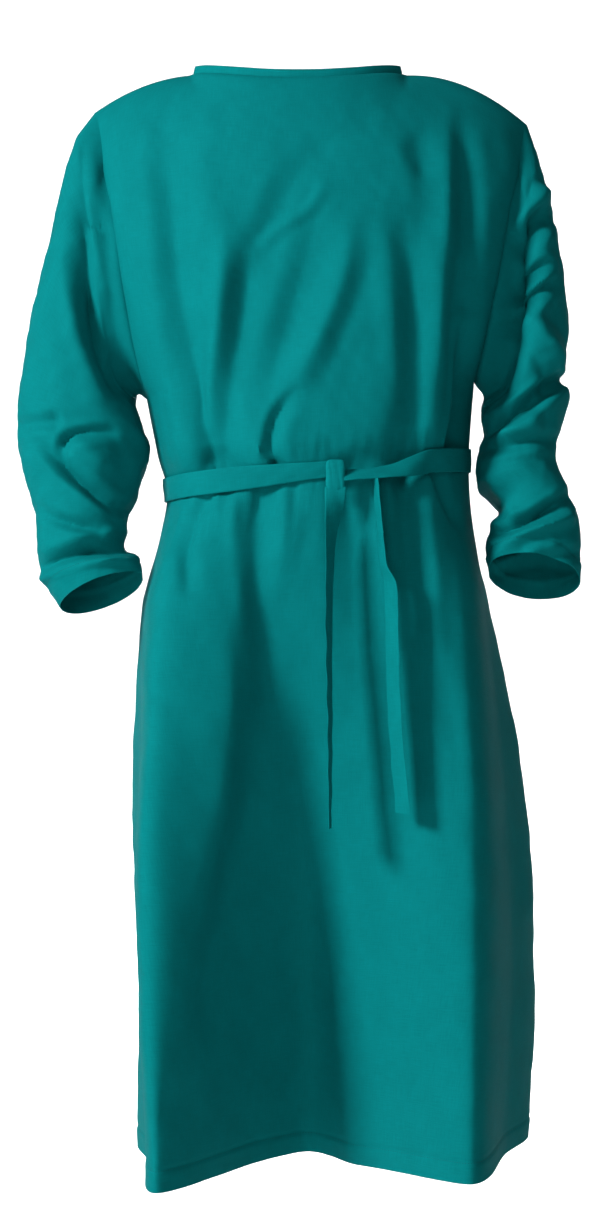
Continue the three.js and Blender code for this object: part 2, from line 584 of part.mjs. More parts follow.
// Hanging strip through its rows of stations, starting from a point
function hangingFrames(start, rows, width) {
  const knots = rows.map((row) => row.down);
  return places(0, knots.at(-1), STRAND_STEPS).map((down) => {
    const at = (column) => spline(knots, rows.map((row) => row[column]), down, DOWN_TENSION);
    const turn = radians(at("turn"));
    return {
      centre: new THREE.Vector3(start.x + at("x"), start.y + at("y"), start.z - down),
      across: new THREE.Vector3(Math.cos(turn), -Math.sin(turn), 0),
      out: new THREE.Vector3(-Math.sin(turn), -Math.cos(turn), 0),
      width,
    };
  });
}

const knotSides = [-0.5, 0.5].map((side) => acrossAt(KNOT.x + side * KNOT.width));
const knotDrops = [-0.5, 0, 0.5].map((end) => BELT_DROP + end * KNOT.height);
const knotClothDepths = knotSides.flatMap((across) => knotDrops.map((drop) => bodyPoint(across, drop, true).y));
const beltFace = beltFrames[0].centre.y - BELT.thickness / 2;
const knotBack = Math.min(...knotClothDepths, beltFace) - SEAM_GAP;
const rightEndStart = new THREE.Vector3(KNOT.x, knotBack - KNOT.depth / 2, KNOT.z - KNOT.height / 2 - SEAM_GAP);
const beltOverLeftEnd = beltFrameInFront(LEFT_END_AT, knotEdges.left, true);
const leftEndStart = beltOverLeftEnd.centre.clone().add(new THREE.Vector3(0, -2, -LEFT_END_BELOW));

// Neck binding: a strip that stands on the neckline, round the front and over the lap of the two back flaps
function bindingFrame(across, isFront, shift) {
  const step = 0.01;
  const along = topEdge(across + step, isFront).sub(topEdge(across - step, isFront));
  const out = new THREE.Vector3(along.y, -along.x, 0).multiplyScalar(isFront ? 1 : -1).normalize();
  const up = new THREE.Vector3(0, 0, 1).addScaledVector(out, -BINDING.lean).normalize();
  const centre = topEdge(across, isFront)
    .addScaledVector(out, -BINDING.thickness / 2 - shift)
    .addScaledVector(up, BINDING.height / 2 + SEAM_GAP + 0.3);
  const face = out.clone().addScaledVector(up, -out.dot(up)).normalize();
  return { centre, across: up, out: face, width: BINDING.height };
}

const NECK_EDGE = NECK_SHARE * 0.97;
const bindingFrames = [
  ...places(-LAP.atNeck, NECK_EDGE, 8).map((a) => bindingFrame(a, false, 0)),
  ...places(NECK_EDGE, -NECK_EDGE, 22).map((a) => bindingFrame(a, true, 0)),
  ...places(-NECK_EDGE, LAP.atNeck, 10).map((a) => {
    const lapped = smooth((a + LAP.atNeck + LAP.blend) / (LAP.blend * 0.75));
    return bindingFrame(a, false, LAP.innerShift * lapped);
  }),
];

// Neck ties at the nape: a small knot on the binding, with two short ends that lie down the back
const nape = bindingFrame(0, false, 0);
const napeKnotAt = nape.centre.clone().addScaledVector(nape.out, BINDING.thickness / 2 + LYING_GAP);
const neckTieFrames = (side) =>
  places(0, 1, STRAND_STEPS).map((share) => {
    const across = side * mix(NECK_TIE.from, NECK_TIE.to, share ** 0.7);
    const drop = mix(NECK_TIE.startDrop, NECK_TIE.length, share);
    const lap = bodyPoint(across, drop, false);
    const along = bodyPoint(across + 0.01, drop, false).sub(bodyPoint(across - 0.01, drop, false)).normalize();
    const down = bodyPoint(across, drop + 1, false).sub(lap);
    const out = along.clone().cross(down).normalize();
    const clear = LYING_GAP + BELT.thickness / 2 + 0.6 * smooth(share * 8);
    return { centre: lap.addScaledVector(out, clear), across: along, out, width: NECK_TIE.width };
  });

// Assembly
const cloth = new THREE.MeshStandardMaterial({ color: 0x067f83, roughness: 0.85, metalness: 0 });
const gown = new THREE.Group();
gown.name = "surgical_gown";

function addPiece(name, geometry) {
  const mesh = new THREE.Mesh(geometry, cloth.clone());
  mesh.name = name;
  gown.add(mesh);
  return mesh;
}

pieces.forEach((piece) => addPiece(piece.name, clothGeometry(piece)));
addPiece("neck_binding", strip(bindingFrames, BINDING.thickness));
addPiece("belt", strip(beltFrames, BELT.thickness));

const beltKnot = addPiece("belt_knot", bandGeometry(KNOT));
beltKnot.rotation.x = Math.PI / 2;
beltKnot.position.set(KNOT.x, knotBack - KNOT.roundOver, KNOT.z);
const rightEndFrames = hangingFrames(rightEndStart, BELT_ENDS.right, BELT_END_WIDTH);
const leftEndFrames = hangingFrames(leftEndStart, BELT_ENDS.left, BELT_END_WIDTH);
addPiece("belt_end_right", strip(rightEndFrames, BELT.thickness));
addPiece("belt_end_left", strip(leftEndFrames, BELT.thickness));

const tieKnot = addPiece("neck_tie_knot", bandGeometry(NECK_TIE_KNOT));
tieKnot.rotation.x = -Math.PI / 2;
tieKnot.position.set(napeKnotAt.x, napeKnotAt.y + NECK_TIE_KNOT.roundOver, napeKnotAt.z);
addPiece("neck_tie_end_right", strip(neckTieFrames(-1), BELT.thickness));
addPiece("neck_tie_end_left", strip(neckTieFrames(1), BELT.thickness));

export default gown;
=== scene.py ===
"""A surgical gown in teal woven cloth, in the shape it has when worn, hung in front of a pale backdrop.

Lengths in the tables are millimetres; the wearer's right is at -X and the front faces -Y.
"""

import bpy
import numpy as np
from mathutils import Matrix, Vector


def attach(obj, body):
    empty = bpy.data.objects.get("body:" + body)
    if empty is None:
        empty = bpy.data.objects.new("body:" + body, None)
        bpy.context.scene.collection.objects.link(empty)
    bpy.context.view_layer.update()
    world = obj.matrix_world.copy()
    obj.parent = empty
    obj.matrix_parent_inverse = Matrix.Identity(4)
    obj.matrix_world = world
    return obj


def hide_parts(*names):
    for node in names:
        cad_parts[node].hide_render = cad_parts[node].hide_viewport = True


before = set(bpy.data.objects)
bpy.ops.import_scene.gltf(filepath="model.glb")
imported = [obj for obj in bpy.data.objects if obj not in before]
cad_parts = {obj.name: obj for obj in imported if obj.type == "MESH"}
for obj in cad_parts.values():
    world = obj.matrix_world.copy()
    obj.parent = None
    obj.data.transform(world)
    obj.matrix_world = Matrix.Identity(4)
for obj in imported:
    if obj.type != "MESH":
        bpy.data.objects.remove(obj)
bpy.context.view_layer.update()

# ---------------------------------------------------------------- front panel
# One piece of plain-woven cloth from the neck to the hem, sewn into the shoulder and side seams.
# The belt draws it in; below the belt it falls in two deep folds with a broad hollow between them.
MM = 0.001
GOWN_LENGTH = 1164
UNDERARM_DROP = 345
BELT_DROP = 437
BELT_RISE, BELT_RISE_REACH = 0.1, 110
CLOTH_THICKNESS, HEM_DEPTH = 1.1, 22
CHEST_CREASE_GAIN, CHEST_CREASE_BLEND = 0.4, 60
NECK, NECK_HALF_WIDTH, NECK_SHARE = (-13, 4, -7), 115, 0.5
NECK_BOW = {"front": (-66, -14), "back": (70, 4)}
SHOULDER_TIP = {-1: (-231, 10, -46), 1: (233, 10, -59)}
SHOULDER_CROWN = {-1: 8, 1: 15}
SHOULDER_REACH = 150
# Body sections as [x, y]: drop below the neck, then right edge, right fold, middle, left fold and left
# edge of the front, and the same five of the back
BODY_SECTIONS = [
    (100, (-219, -28), (-118, -87), (-10, -100), (104, -87), (221, -28),
     (-217, 46), (-113, 92), (-2, 99), (104, 92), (219, 46)),
    (200, (-203, -50), (-120, -112), (-6, -124), (112, -112), (203, -50),
     (-201, 58), (-116, 116), (0, 112), (112, 116), (201, 58)),
    (280, (-190, -42), (-122, -117), (-2, -130), (116, -117), (188, -42),
     (-189, 50), (-120, 118), (0, 113), (118, 118), (187, 50)),
    (318, (-182, -28), (-124, -113), (-1, -131), (120, -113), (181, -28),
     (-182, 37), (-124, 110), (0, 114), (123, 110), (181, 37)),
    (338, (-177, -13), (-126, -110), (0, -132), (123, -110), (177, -13),
     (-177, 23), (-127, 104), (0, 114), (127, 104), (177, 23)),
    (345, (-175, 6), (-126, -108), (0, -132), (124, -108), (176, 6),
     (-175, 6), (-128, 102), (0, 114), (128, 102), (176, 6)),
    (400, (-163, 4), (-124, -104), (0, -134), (126, -104), (172, 4),
     (-163, 4), (-124, 98), (0, 114), (128, 98), (172, 4)),
    (437, (-153, 2), (-113, -93), (2, -124), (118, -93), (170, 2),
     (-153, 2), (-114, 86), (2, 108), (122, 86), (170, 2)),
    (484, (-159, 2), (-121, -98), (2, -122), (127, -98), (172, 2),
     (-159, 2), (-122, 92), (2, 115), (129, 92), (172, 2)),
    (569, (-178, 0), (-149, -123), (-16, -114), (151, -112), (186, 2),
     (-178, 0), (-167, 96), (4, 142), (180, 100), (186, 2)),
    (783, (-181, -14), (-162, -166), (-8, -72), (164, -134), (210, 2),
     (-181, -14), (-184, 104), (6, 170), (229, 120), (210, 2)),
    (997, (-175, -24), (-157, -186), (-4, -14), (164, -147), (217, 4),
     (-175, -24), (-178, 98), (8, 184), (242, 136), (217, 4)),
    (1164, (-171, -28), (-153, -193), (0, 24), (162, -151), (208, 6),
     (-171, -28), (-180, 95), (10, 190), (236, 146), (208, 6)),
]
SECTION_DROPS = [row[0] for row in BODY_SECTIONS]
STATION_PLACES = [-1.45, -1, -0.55, 0, 0.55, 1, 1.45]
STATIONS = np.array([row[1:] for row in BODY_SECTIONS], float)
STATIONS = {"front": STATIONS[:, [6, 0, 1, 2, 3, 4, 8]], "back": STATIONS[:, [1, 5, 6, 7, 8, 9, 3]]}
ACROSS_TENSION, DOWN_TENSION = 0.18, 0.1


def smooth(share):
    """0 below 0, 1 above 1, and 3t^2 - 2t^3 between."""
    share = np.clip(share, 0, 1)
    return share * share * (3 - 2 * share)


def spline_weights(knots, at, tension, ahead_only=None):
    """Weights of the knots' values at each place: a cubic whose slope at a knot is (1 - tension) times the
    slope between the knots beside it, or of the knot after it alone where ahead_only says so."""
    knots, at = np.asarray(knots, float), np.clip(at, knots[0], knots[-1])
    number = np.arange(len(knots))
    before, after = np.maximum(number - 1, 0), np.minimum(number + 1, len(knots) - 1)
    if ahead_only is not None:
        before[ahead_only] = ahead_only
    value = np.eye(len(knots))
    slope = (1 - tension) * (value[after] - value[before]) / (knots[after] - knots[before])[:, None]
    i = np.clip(np.searchsorted(knots, at, side="right") - 1, 0, len(knots) - 2)
    span = (knots[i + 1] - knots[i])[..., None]
    t = (at - knots[i])[..., None] / span
    return (
        value[i] * (1 + 2 * t) * (1 - t) ** 2
        + slope[i] * span * t * (1 - t) ** 2
        + value[i + 1] * t**2 * (3 - 2 * t)
        - slope[i + 1] * span * t**2 * (1 - t)
    )


def top_edge(across, face):
    """Shoulder seam, neckline, shoulder seam, with across from -1 to 1: the neckline bows forward or back
    from the neck points, and the shoulders run straight to their tips with a low crown."""
    side = np.where(across < 0, -1, 1)[..., None]
    to_neck = np.clip(np.abs(across) / NECK_SHARE, 0, 1)
    bowed = (1 - to_neck**2.2) ** 0.7
    bow_y, bow_z = NECK_BOW[face]
    neck = np.stack(
        [
            NECK[0] + NECK_HALF_WIDTH * to_neck * np.sign(across),
            NECK[1] + bow_y * bowed,
            NECK[2] + bow_z * bowed**2,
        ],
        axis=-1,
    )
    out = np.clip((np.abs(across) - NECK_SHARE) / (1 - NECK_SHARE), 0, 1)[..., None]
    tip = np.where(side < 0, SHOULDER_TIP[-1], SHOULDER_TIP[1])
    crown = np.where(side < 0, SHOULDER_CROWN[-1], SHOULDER_CROWN[1])
    return neck + (tip - neck) * out + crown * 4 * out * (1 - out) * np.array([0, 0, 1])


def body(across, drop, face):
    """The smooth body: splines across each section and down through the sections, rounded over the shoulder
    above the first section, and pulled askew round the belt, which climbs towards the wearer's left."""
    across, drop = np.broadcast_arrays(np.asarray(across, float), np.asarray(drop, float))
    top = top_edge(across, face)
    over = spline_weights(STATION_PLACES, across, ACROSS_TENSION)
    down = spline_weights(SECTION_DROPS, drop, DOWN_TENSION, SECTION_DROPS.index(UNDERARM_DROP))
    level = np.einsum("...k,kjd,...j->...d", down, STATIONS[face], over)
    share = np.clip(drop / SECTION_DROPS[0], 0, 1)
    rounded = 0.4 * np.sin(share * np.pi / 2) + 0.4 * np.sqrt(share * (2 - share)) + 0.2 * share
    level = top[..., :2] + (level - top[..., :2]) * rounded[..., None]
    askew = BELT_RISE * level[..., 0] * np.exp(-(((drop - BELT_DROP) / BELT_RISE_REACH) ** 2))
    z = top[..., 2] * (1 - np.clip(drop / SHOULDER_REACH, 0, 1)) - drop + askew
    return np.concatenate([level, z[..., None]], axis=-1)


def unit(vectors):
    """Each vector divided by its length."""
    return vectors / np.maximum(np.linalg.norm(vectors, axis=-1, keepdims=True), 1e-9)


def normals_of(grid, closed=False):
    """Unit normals of a grid of points: the step down its rows crossed with the step along its columns."""
    along = np.roll(grid, -1, 1) - np.roll(grid, 1, 1) if closed else np.gradient(grid, axis=1)
    return unit(np.cross(np.gradient(grid, axis=0), along))


def creases(x, z, table):
    """Height of a table of creases seen from the front. Each runs along a path through its points; across it
    the height falls off as exp(-(sqrt(d^2 + e^2) - e) / w), where d is the distance from the path, w the width
    on that side and e the edge, small for a sharp crease, with a low lip of the other sign on each side."""
    height = np.zeros_like(x)
    for path, depths, widths, edge in table:
        knots = np.linspace(0, 1, len(path))
        line = spline_weights(knots, np.linspace(0, 1, 6 * len(path)), 0.1) @ np.array(path, float)
        reach = 5 * max(widths) + edge
        near = np.flatnonzero(
            (x > line[:, 0].min() - reach) & (x < line[:, 0].max() + reach)
            & (z > line[:, 1].min() - reach) & (z < line[:, 1].max() + reach)
        )
        start, step = line[:-1], np.diff(line, axis=0)
        long = np.linalg.norm(step, axis=1)
        from_start = np.stack([x.flat[near], z.flat[near]], axis=-1)[:, None] - start
        along = np.clip((from_start * step).sum(-1) / long**2, 0, 1)
        away = np.linalg.norm(from_start - along[..., None] * step, axis=-1)
        best = away.argmin(axis=1)
        pick = np.arange(len(near)), best
        run = np.concatenate([[0], np.cumsum(long)])
        share = (run[best] + along[pick] * long[best]) / run[-1]
        turn = from_start[..., 0] * step[:, 1] - from_start[..., 1] * step[:, 0]
        width = np.where(turn[pick] > 0, widths[0], widths[1])
        away = away[pick]
        fall = np.exp(-(np.sqrt(away**2 + edge**2) - edge) / width)
        lip = 0.22 * np.exp(-(((away - 2.4 * width) / width) ** 2))
        depth = np.interp(share, np.linspace(0, 1, len(depths)), depths)
        height.flat[near] += depth * (fall - lip)
    return height


def ripples(x, z, seed, waves, longest, lean):
    """A sum of sine waves with seeded directions, lengths and phases, scaled to about -1 to 1: the slight
    unevenness of worn cloth. lean above 1 draws the waves out downwards."""
    seeded = np.random.default_rng(seed)
    angle = seeded.uniform(0, np.pi, waves)
    length = longest * seeded.uniform(0.35, 1, waves)
    phase = seeded.uniform(0, 2 * np.pi, waves)
    wave = (x[..., None] * np.cos(angle) + z[..., None] * np.sin(angle) / lean) * 2 * np.pi / length + phase
    return np.sin(wave).sum(-1) / np.sqrt(waves * 2)


def gathers(x, drop, seed, count, half_width):
    """Small upright pleats where the belt gathers the cloth: narrow troughs at seeded places, each with its
    own width, depth and reach above and below the belt."""
    seeded = np.random.default_rng(seed)
    place = np.linspace(-half_width, half_width, count) + seeded.uniform(-0.5, 0.5, count) * half_width / count
    width, depth = seeded.uniform(2.5, 6, count), seeded.uniform(0.6, 2.6, count)
    above, below = seeded.uniform(14, 46, count), seeded.uniform(18, 70, count)
    lean = seeded.uniform(-0.18, 0.18, count)
    from_belt = drop[..., None] - BELT_DROP
    aside = (x[..., None] - place * (1 + 0.0012 * np.abs(from_belt)) - lean * from_belt) / width
    fade = np.exp(-((from_belt / np.where(from_belt < 0, above, below)) ** 2))
    return -(depth * np.exp(-(aside**2)) * fade).sum(-1)


def under_belt(height, drop):
    """Keeps the cloth below the belt that lies on it: no ridge within the belt's width."""
    near = np.exp(-(((drop - BELT_DROP) / 16) ** 4))
    return height + (np.minimum(height, -0.9) - height) * near


def folded_hem(drop, end, deep):
    """Relief of a turned-up hem: a step of one more layer below the sewing line and a groove along it."""
    from_line = drop - (end - deep)
    return 0.7 * smooth(from_line / 3 + 0.5) - 1.1 * np.exp(-((from_line / 2.2) ** 2))


# Creases as they show from the front: path (x, z), heights along it, widths right and left of it seen going
# down the path from above (the wearer's right first on a path that runs down), and the edge
FRONT_CREASES = [
    ([(-154, -67), (-146, -160), (-141, -236), (-131, -313), (-120, -375), (-108, -431)],
     (-1, -6, -9, -12, -15, -16), (9, 18), 9),
    ([(-85, -150), (-92, -262), (-102, -339), (-110, -385)], (0, 4, 5, 2), (8, 9), 7),
    ([(10, -103), (-31, -160), (-61, -231), (-77, -313), (-87, -385), (-92, -431)],
     (-1, -4, -6, -8, -10, -10), (10, 20), 9),
    ([(18, -134), (0, -165), (-31, -185), (-67, -221)], (0, 3, 3, 0), (4, 5), 4),
    ([(13, -144), (0, -211), (-15, -262), (-31, -313), (-46, -375)], (0, -4, -6, -5, -1), (10, 14), 8),
    ([(41, -165), (36, -231), (10, -298), (-20, -354)], (0, 5, 6, 2), (10, 9), 8),
    ([(-10, -349), (-35, -380), (-42, -411), (-37, -433)], (0, -6, -8, -8), (4, 7), 2),
    ([(92, -134), (108, -262), (113, -365), (103, -428)], (0, -4, -8, -10), (16, 9), 9),
    ([(77, -154), (84, -272), (92, -395)], (0, 3.5, 1), (8, 8), 7),
    ([(146, -52), (143, -134), (134, -236), (124, -365), (118, -416)], (1, 4, 6, 6, 3), (10, 7), 6),
    ([(161, -67), (164, -185), (161, -262)], (-1, -7, -4), (8, 8), 7),
    ([(161, -288), (159, -365), (151, -416)], (-3, -11, -14), (5, 8), 5),
    ([(112, -98), (118, -120)], (-2, -2.5), (8, 8), 6),
    ([(-111, -464), (-123, -483), (-131, -513), (-127, -544), (-123, -571)], (-8, -9, -8, -5, 0), (4, 7), 2.5),
    ([(-140, -470), (-148, -510), (-146, -580)], (2, 4, 0), (7, 7), 6),
    ([(-47, -456), (-56, -488), (-54, -539), (-46, -611), (-36, -720)], (-11, -12, -10, -7, 0), (9, 20), 7),
    ([(-30, -462), (-28, -500), (-34, -560)], (4, 5, 0), (7, 8), 6),
    ([(41, -449), (46, -570), (51, -700)], (-9, -7, 0), (12, 14), 9),
    ([(97, -441), (101, -518), (108, -595), (118, -690)], (-8, -7, -5, 0), (7, 8), 5),
    ([(74, -452), (76, -530), (80, -640)], (3, 4, 0), (9, 9), 7),
    ([(120, -447), (128, -529), (138, -650)], (4, 5, 0), (7, 8), 5),
    ([(130, -436), (143, -467), (158, -500)], (-8, -7, 0), (4, 5), 2.5),
    ([(-150, -640), (-160, -800), (-152, -960)], (0, 4, 0), (14, 12), 9),
    ([(-100, -700), (-84, -860), (-66, -1040), (-58, -1164)], (0, -4, -5, -3), (22, 26), 18),
    ([(20, -690), (42, -850), (54, -1000), (58, -1164)], (0, 10, 16, 16), (24, 46), 18),
    ([(-84, -560), (-88, -680), (-104, -800), (-132, -920), (-146, -1040)], (0, 19, 21, 12, 4), (34, 15), 10),
    ([(112, -720), (120, -860), (116, -1030)], (0, 3, 0), (16, 16), 12),
    ([(128, -628), (148, -700), (150, -790)], (0, -3, 0), (8, 9), 6),
]


def panel_rows():
    """Drops of a panel's rows: close together at the neckline and along the hem."""
    return np.concatenate(
        [
            np.linspace(0, 20, 9)[:-1],
            np.linspace(20, 505, 136)[:-1],
            np.linspace(505, 1128, 112)[:-1],
            np.linspace(1128, GOWN_LENGTH, 18),
        ]
    )


def cloth_piece(name, grid, thickness, node, closed=False):
    """A grid of points in millimetres as a closed shell: quads between rows and columns, the same moved in along
    the normals by the thickness, and a rim between the two. With no thickness the grid is a tube that is closed
    by a flat face at each end. The UV map holds millimetres along the cloth from the middle of each row."""
    rows, columns = grid.shape[:2]
    index = np.arange(rows * columns).reshape(rows, columns)
    wide = grid
    if closed:
        index, wide = np.concatenate([index, index[:, :1]], 1), np.concatenate([grid, grid[:, :1]], 1)
    quads = lambda a: np.stack([a[:-1, :-1], a[1:, :-1], a[1:, 1:], a[:-1, 1:]], axis=-1).reshape(-1, 4)

    def shell(outer, inner):
        band = lambda o, n: np.stack([o[:-1], o[1:], n[1:], n[:-1]], axis=-1)
        rims = [band(outer[0], inner[0]), band(outer[-1], inner[-1])[:, ::-1]]
        if not closed:
            rims += [band(outer[:, 0], inner[:, 0])[:, ::-1], band(outer[:, -1], inner[:, -1])]
        return np.concatenate([quads(outer), quads(inner)[:, ::-1], *rims])

    along = np.cumsum(np.linalg.norm(np.diff(wide, axis=1, prepend=wide[:, :1]), axis=-1), axis=1)
    along -= along[:, [wide.shape[1] // 2]]
    steps = np.linalg.norm(np.diff(wide, axis=0, prepend=wide[:1]), axis=-1).mean(axis=1)
    down = np.broadcast_to(np.cumsum(steps)[:, None], along.shape)
    flat = np.stack([along, -down], axis=-1).reshape(-1, 2)
    on_flat = np.arange(len(flat)).reshape(along.shape)
    if thickness:
        points = np.concatenate([grid, grid - thickness * normals_of(grid, closed)]).reshape(-1, 3)
        faces, grain_at = shell(index, index + rows * columns).tolist(), shell(on_flat, on_flat).ravel()
    else:
        points = grid.reshape(-1, 3)
        faces = [*quads(index).tolist(), index[0, :-1].tolist(), index[-1, -2::-1].tolist()]
        grain_at = np.concatenate([quads(on_flat).ravel(), on_flat[0, :-1], on_flat[-1, -2::-1]])
    mesh = bpy.data.meshes.new(name)
    mesh.from_pydata((points * MM).tolist(), [], faces)
    mesh.polygons.foreach_set("use_smooth", np.ones(len(mesh.polygons), bool))
    mesh.set_sharp_from_angle(angle=0.9)
    mesh.uv_layers.new(name="grain").data.foreach_set("uv", flat[grain_at].ravel())
    piece = bpy.data.objects.new(name, mesh)
    bpy.context.scene.collection.objects.link(piece)
    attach(piece, "root")
    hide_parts(node)
    return piece


def cloth_material(name, tone=1.0):
    """Dull teal plain weave: two crossed sets of fine threads, slubs drawn out along each set, faint mottling
    in the dye, and a soft sheen. Everything is measured in millimetres along the cloth."""
    material = bpy.data.materials.new(name)
    material.use_nodes = True
    nodes, links = material.node_tree.nodes, material.node_tree.links
    shader = nodes["Principled BSDF"]
    grain = nodes.new("ShaderNodeUVMap")
    grain.uv_map = "grain"

    def noise(stretch, detail):
        mapping = nodes.new("ShaderNodeMapping")
        mapping.inputs["Scale"].default_value = (*stretch, 1)
        texture = nodes.new("ShaderNodeTexNoise")
        texture.inputs["Scale"].default_value = 1
        texture.inputs["Detail"].default_value = detail
        links.new(grain.outputs["UV"], mapping.inputs["Vector"])
        links.new(mapping.outputs["Vector"], texture.inputs["Vector"])
        return texture.outputs["Fac"]

    def threads(direction):
        texture = nodes.new("ShaderNodeTexWave")
        texture.bands_direction = direction
        texture.inputs["Scale"].default_value = 0.45
        texture.inputs["Distortion"].default_value = 0.6
        texture.inputs["Detail"].default_value = 1
        links.new(grain.outputs["UV"], texture.inputs["Vector"])
        return texture.outputs["Fac"]

    def combine(operation, a, b):
        node = nodes.new("ShaderNodeMath")
        node.operation = operation
        for socket, value in zip(node.inputs, (a, b)):
            if isinstance(value, (int, float)):
                socket.default_value = value
            else:
                links.new(value, socket)
        return node.outputs[0]

    slubs = combine("ADD", noise((0.9, 0.06), 2), noise((0.06, 0.9), 2))
    weave = combine("MULTIPLY", combine("ADD", threads("X"), threads("Y")), 0.5)
    mottle = noise((0.035, 0.025), 3)
    shade = combine(
        "ADD",
        combine("MULTIPLY", combine("SUBTRACT", slubs, 1.0), 0.34),
        combine("MULTIPLY", combine("SUBTRACT", mottle, 0.5), 0.3),
    )
    ramp = nodes.new("ShaderNodeValToRGB")
    ramp.color_ramp.elements[0].color = (0.0006 * tone, 0.138 * tone, 0.144 * tone, 1)
    ramp.color_ramp.elements[1].color = (0.0016 * tone, 0.288 * tone, 0.300 * tone, 1)
    links.new(combine("ADD", shade, 0.5), ramp.inputs["Fac"])
    links.new(ramp.outputs["Color"], shader.inputs["Base Color"])
    bump = nodes.new("ShaderNodeBump")
    bump.inputs["Strength"].default_value = 0.5
    bump.inputs["Distance"].default_value = 0.0003
    relief = combine("ADD", combine("MULTIPLY", slubs, 0.8), combine("MULTIPLY", weave, 0.45))
    links.new(relief, bump.inputs["Height"])
    links.new(bump.outputs["Normal"], shader.inputs["Normal"])
    shader.inputs["Roughness"].default_value = 0.82
    shader.inputs["Specular IOR Level"].default_value = 0.03
    shader.inputs["Sheen Weight"].default_value = 0.005
    shader.inputs["Sheen Roughness"].default_value = 0.45
    shader.inputs["Sheen Tint"].default_value = (0.25, 0.85, 0.85, 1)
    return material


def blurred(grid, reach, axis):
    """Mean of a grid's points along its rows or columns, the n-th neighbour weighted by exp(-(n / reach)^2 / 2)."""
    number = np.arange(grid.shape[axis])
    weight = np.exp(-(((number[:, None] - number) / reach) ** 2) / 2)
    weight /= weight.sum(axis=1, keepdims=True)
    return np.moveaxis(np.tensordot(weight, grid, (1, axis)), 0, axis)


def relaxed(grid, across, drop):
    """The cloth evened out where it is pulled: below the corners of the neckline, and inwards from the underarm."""
    inside = (1 - np.abs(across) ** 8)[..., None]
    below_neck = (smooth(drop / 30) * (1 - smooth((drop - 70) / 130)))[..., None]
    by_underarm = np.exp(-(((drop - UNDERARM_DROP) / 45) ** 2))[..., None]
    grid = grid + (blurred(grid, 7, 1) - grid) * inside * below_neck
    return grid + (blurred(grid, 6, 0) - grid) * inside * by_underarm


rows = panel_rows()[:, None]
front_across = np.linspace(-1, 1, 131)[None]
front = relaxed(body(front_across, rows, "front"), front_across, rows)
front_normals = normals_of(front)
x, z, drops = front[..., 0], front[..., 2], np.broadcast_to(rows, front.shape[:2])
chest_gain = 1 + CHEST_CREASE_GAIN * smooth((BELT_DROP - drops) / CHEST_CREASE_BLEND)
height = creases(x, z, FRONT_CREASES) * chest_gain + gathers(x, drops, 4, 34, 150)
height += 0.9 * ripples(x, z, 11, 14, 95, 1.6) + 0.3 * ripples(x, z, 12, 20, 34, 1.3)
seam_fade = (1 - np.abs(front_across) ** 10) * smooth(rows / 70)
height = under_belt(height, drops) * seam_fade
height += folded_hem(drops, GOWN_LENGTH, HEM_DEPTH)
front = front + height[..., None] * front_normals
front_panel = cloth_piece("front_panel_cloth", front, CLOTH_THICKNESS, "front_panel")
gown_cloth = cloth_material("gown_cloth")
front_panel.data.materials.append(gown_cloth)

# ---------------------------------------------------------------- back panels
# Two halves of the same cloth, open down the middle of the back. The left one laps over the right, each with
# a turned and sewn free edge; they are sewn to the front at the shoulders and sides.
LAP_AT_NECK, LAP_AT_HEM = 0.1, 0.22
LAP_SHIFT, LAP_BLEND = 3.2, 0.2
BACK_CREASES = [
    ([(-96, -110), (-92, -260), (-84, -408), (-86, -432)], (-2, -6, -10, -11), (12, 14), 9),
    ([(-30, -170), (-30, -300), (-34, -425)], (0, -5, -9), (9, 12), 7),
    ([(-142, -90), (-138, -250), (-126, -420)], (2, 5, 3), (9, 8), 6),
    ([(60, -130), (58, -280), (66, -425)], (0, -6, -10), (11, 12), 8),
    ([(112, -84), (118, -240), (108, -420)], (2, 5, 3), (8, 9), 6),
    ([(20, -240), (8, -330), (12, -420)], (0, 4, 2), (7, 8), 5),
    ([(150, -290), (146, -370), (138, -425)], (-2, -8, -11), (7, 8), 5),
    ([(-98, -456), (-108, -640), (-118, -860), (-124, -1090)], (-9, -13, -14, -6), (14, 18), 12),
    ([(-40, -458), (-44, -560), (-40, -720)], (-6, -6, 0), (9, 11), 7),
    ([(44, -456), (52, -660), (64, -900), (74, -1164)], (-10, -16, -20, -22), (17, 22), 15),
    ([(6, -462), (2, -600), (-6, -800)], (4, 6, 0), (12, 12), 9),
    ([(120, -452), (138, -600), (158, -780), (170, -930)], (-9, -9, -6, 0), (11, 13), 8),
    ([(92, -455), (104, -560), (112, -700)], (4, 5, 0), (9, 9), 7),
    ([(-140, -470), (-150, -560), (-156, -700)], (-6, -5, 0), (8, 8), 5),
    ([(150, -900), (176, -1040), (182, -1164)], (0, -5, -6), (15, 18), 12),
]


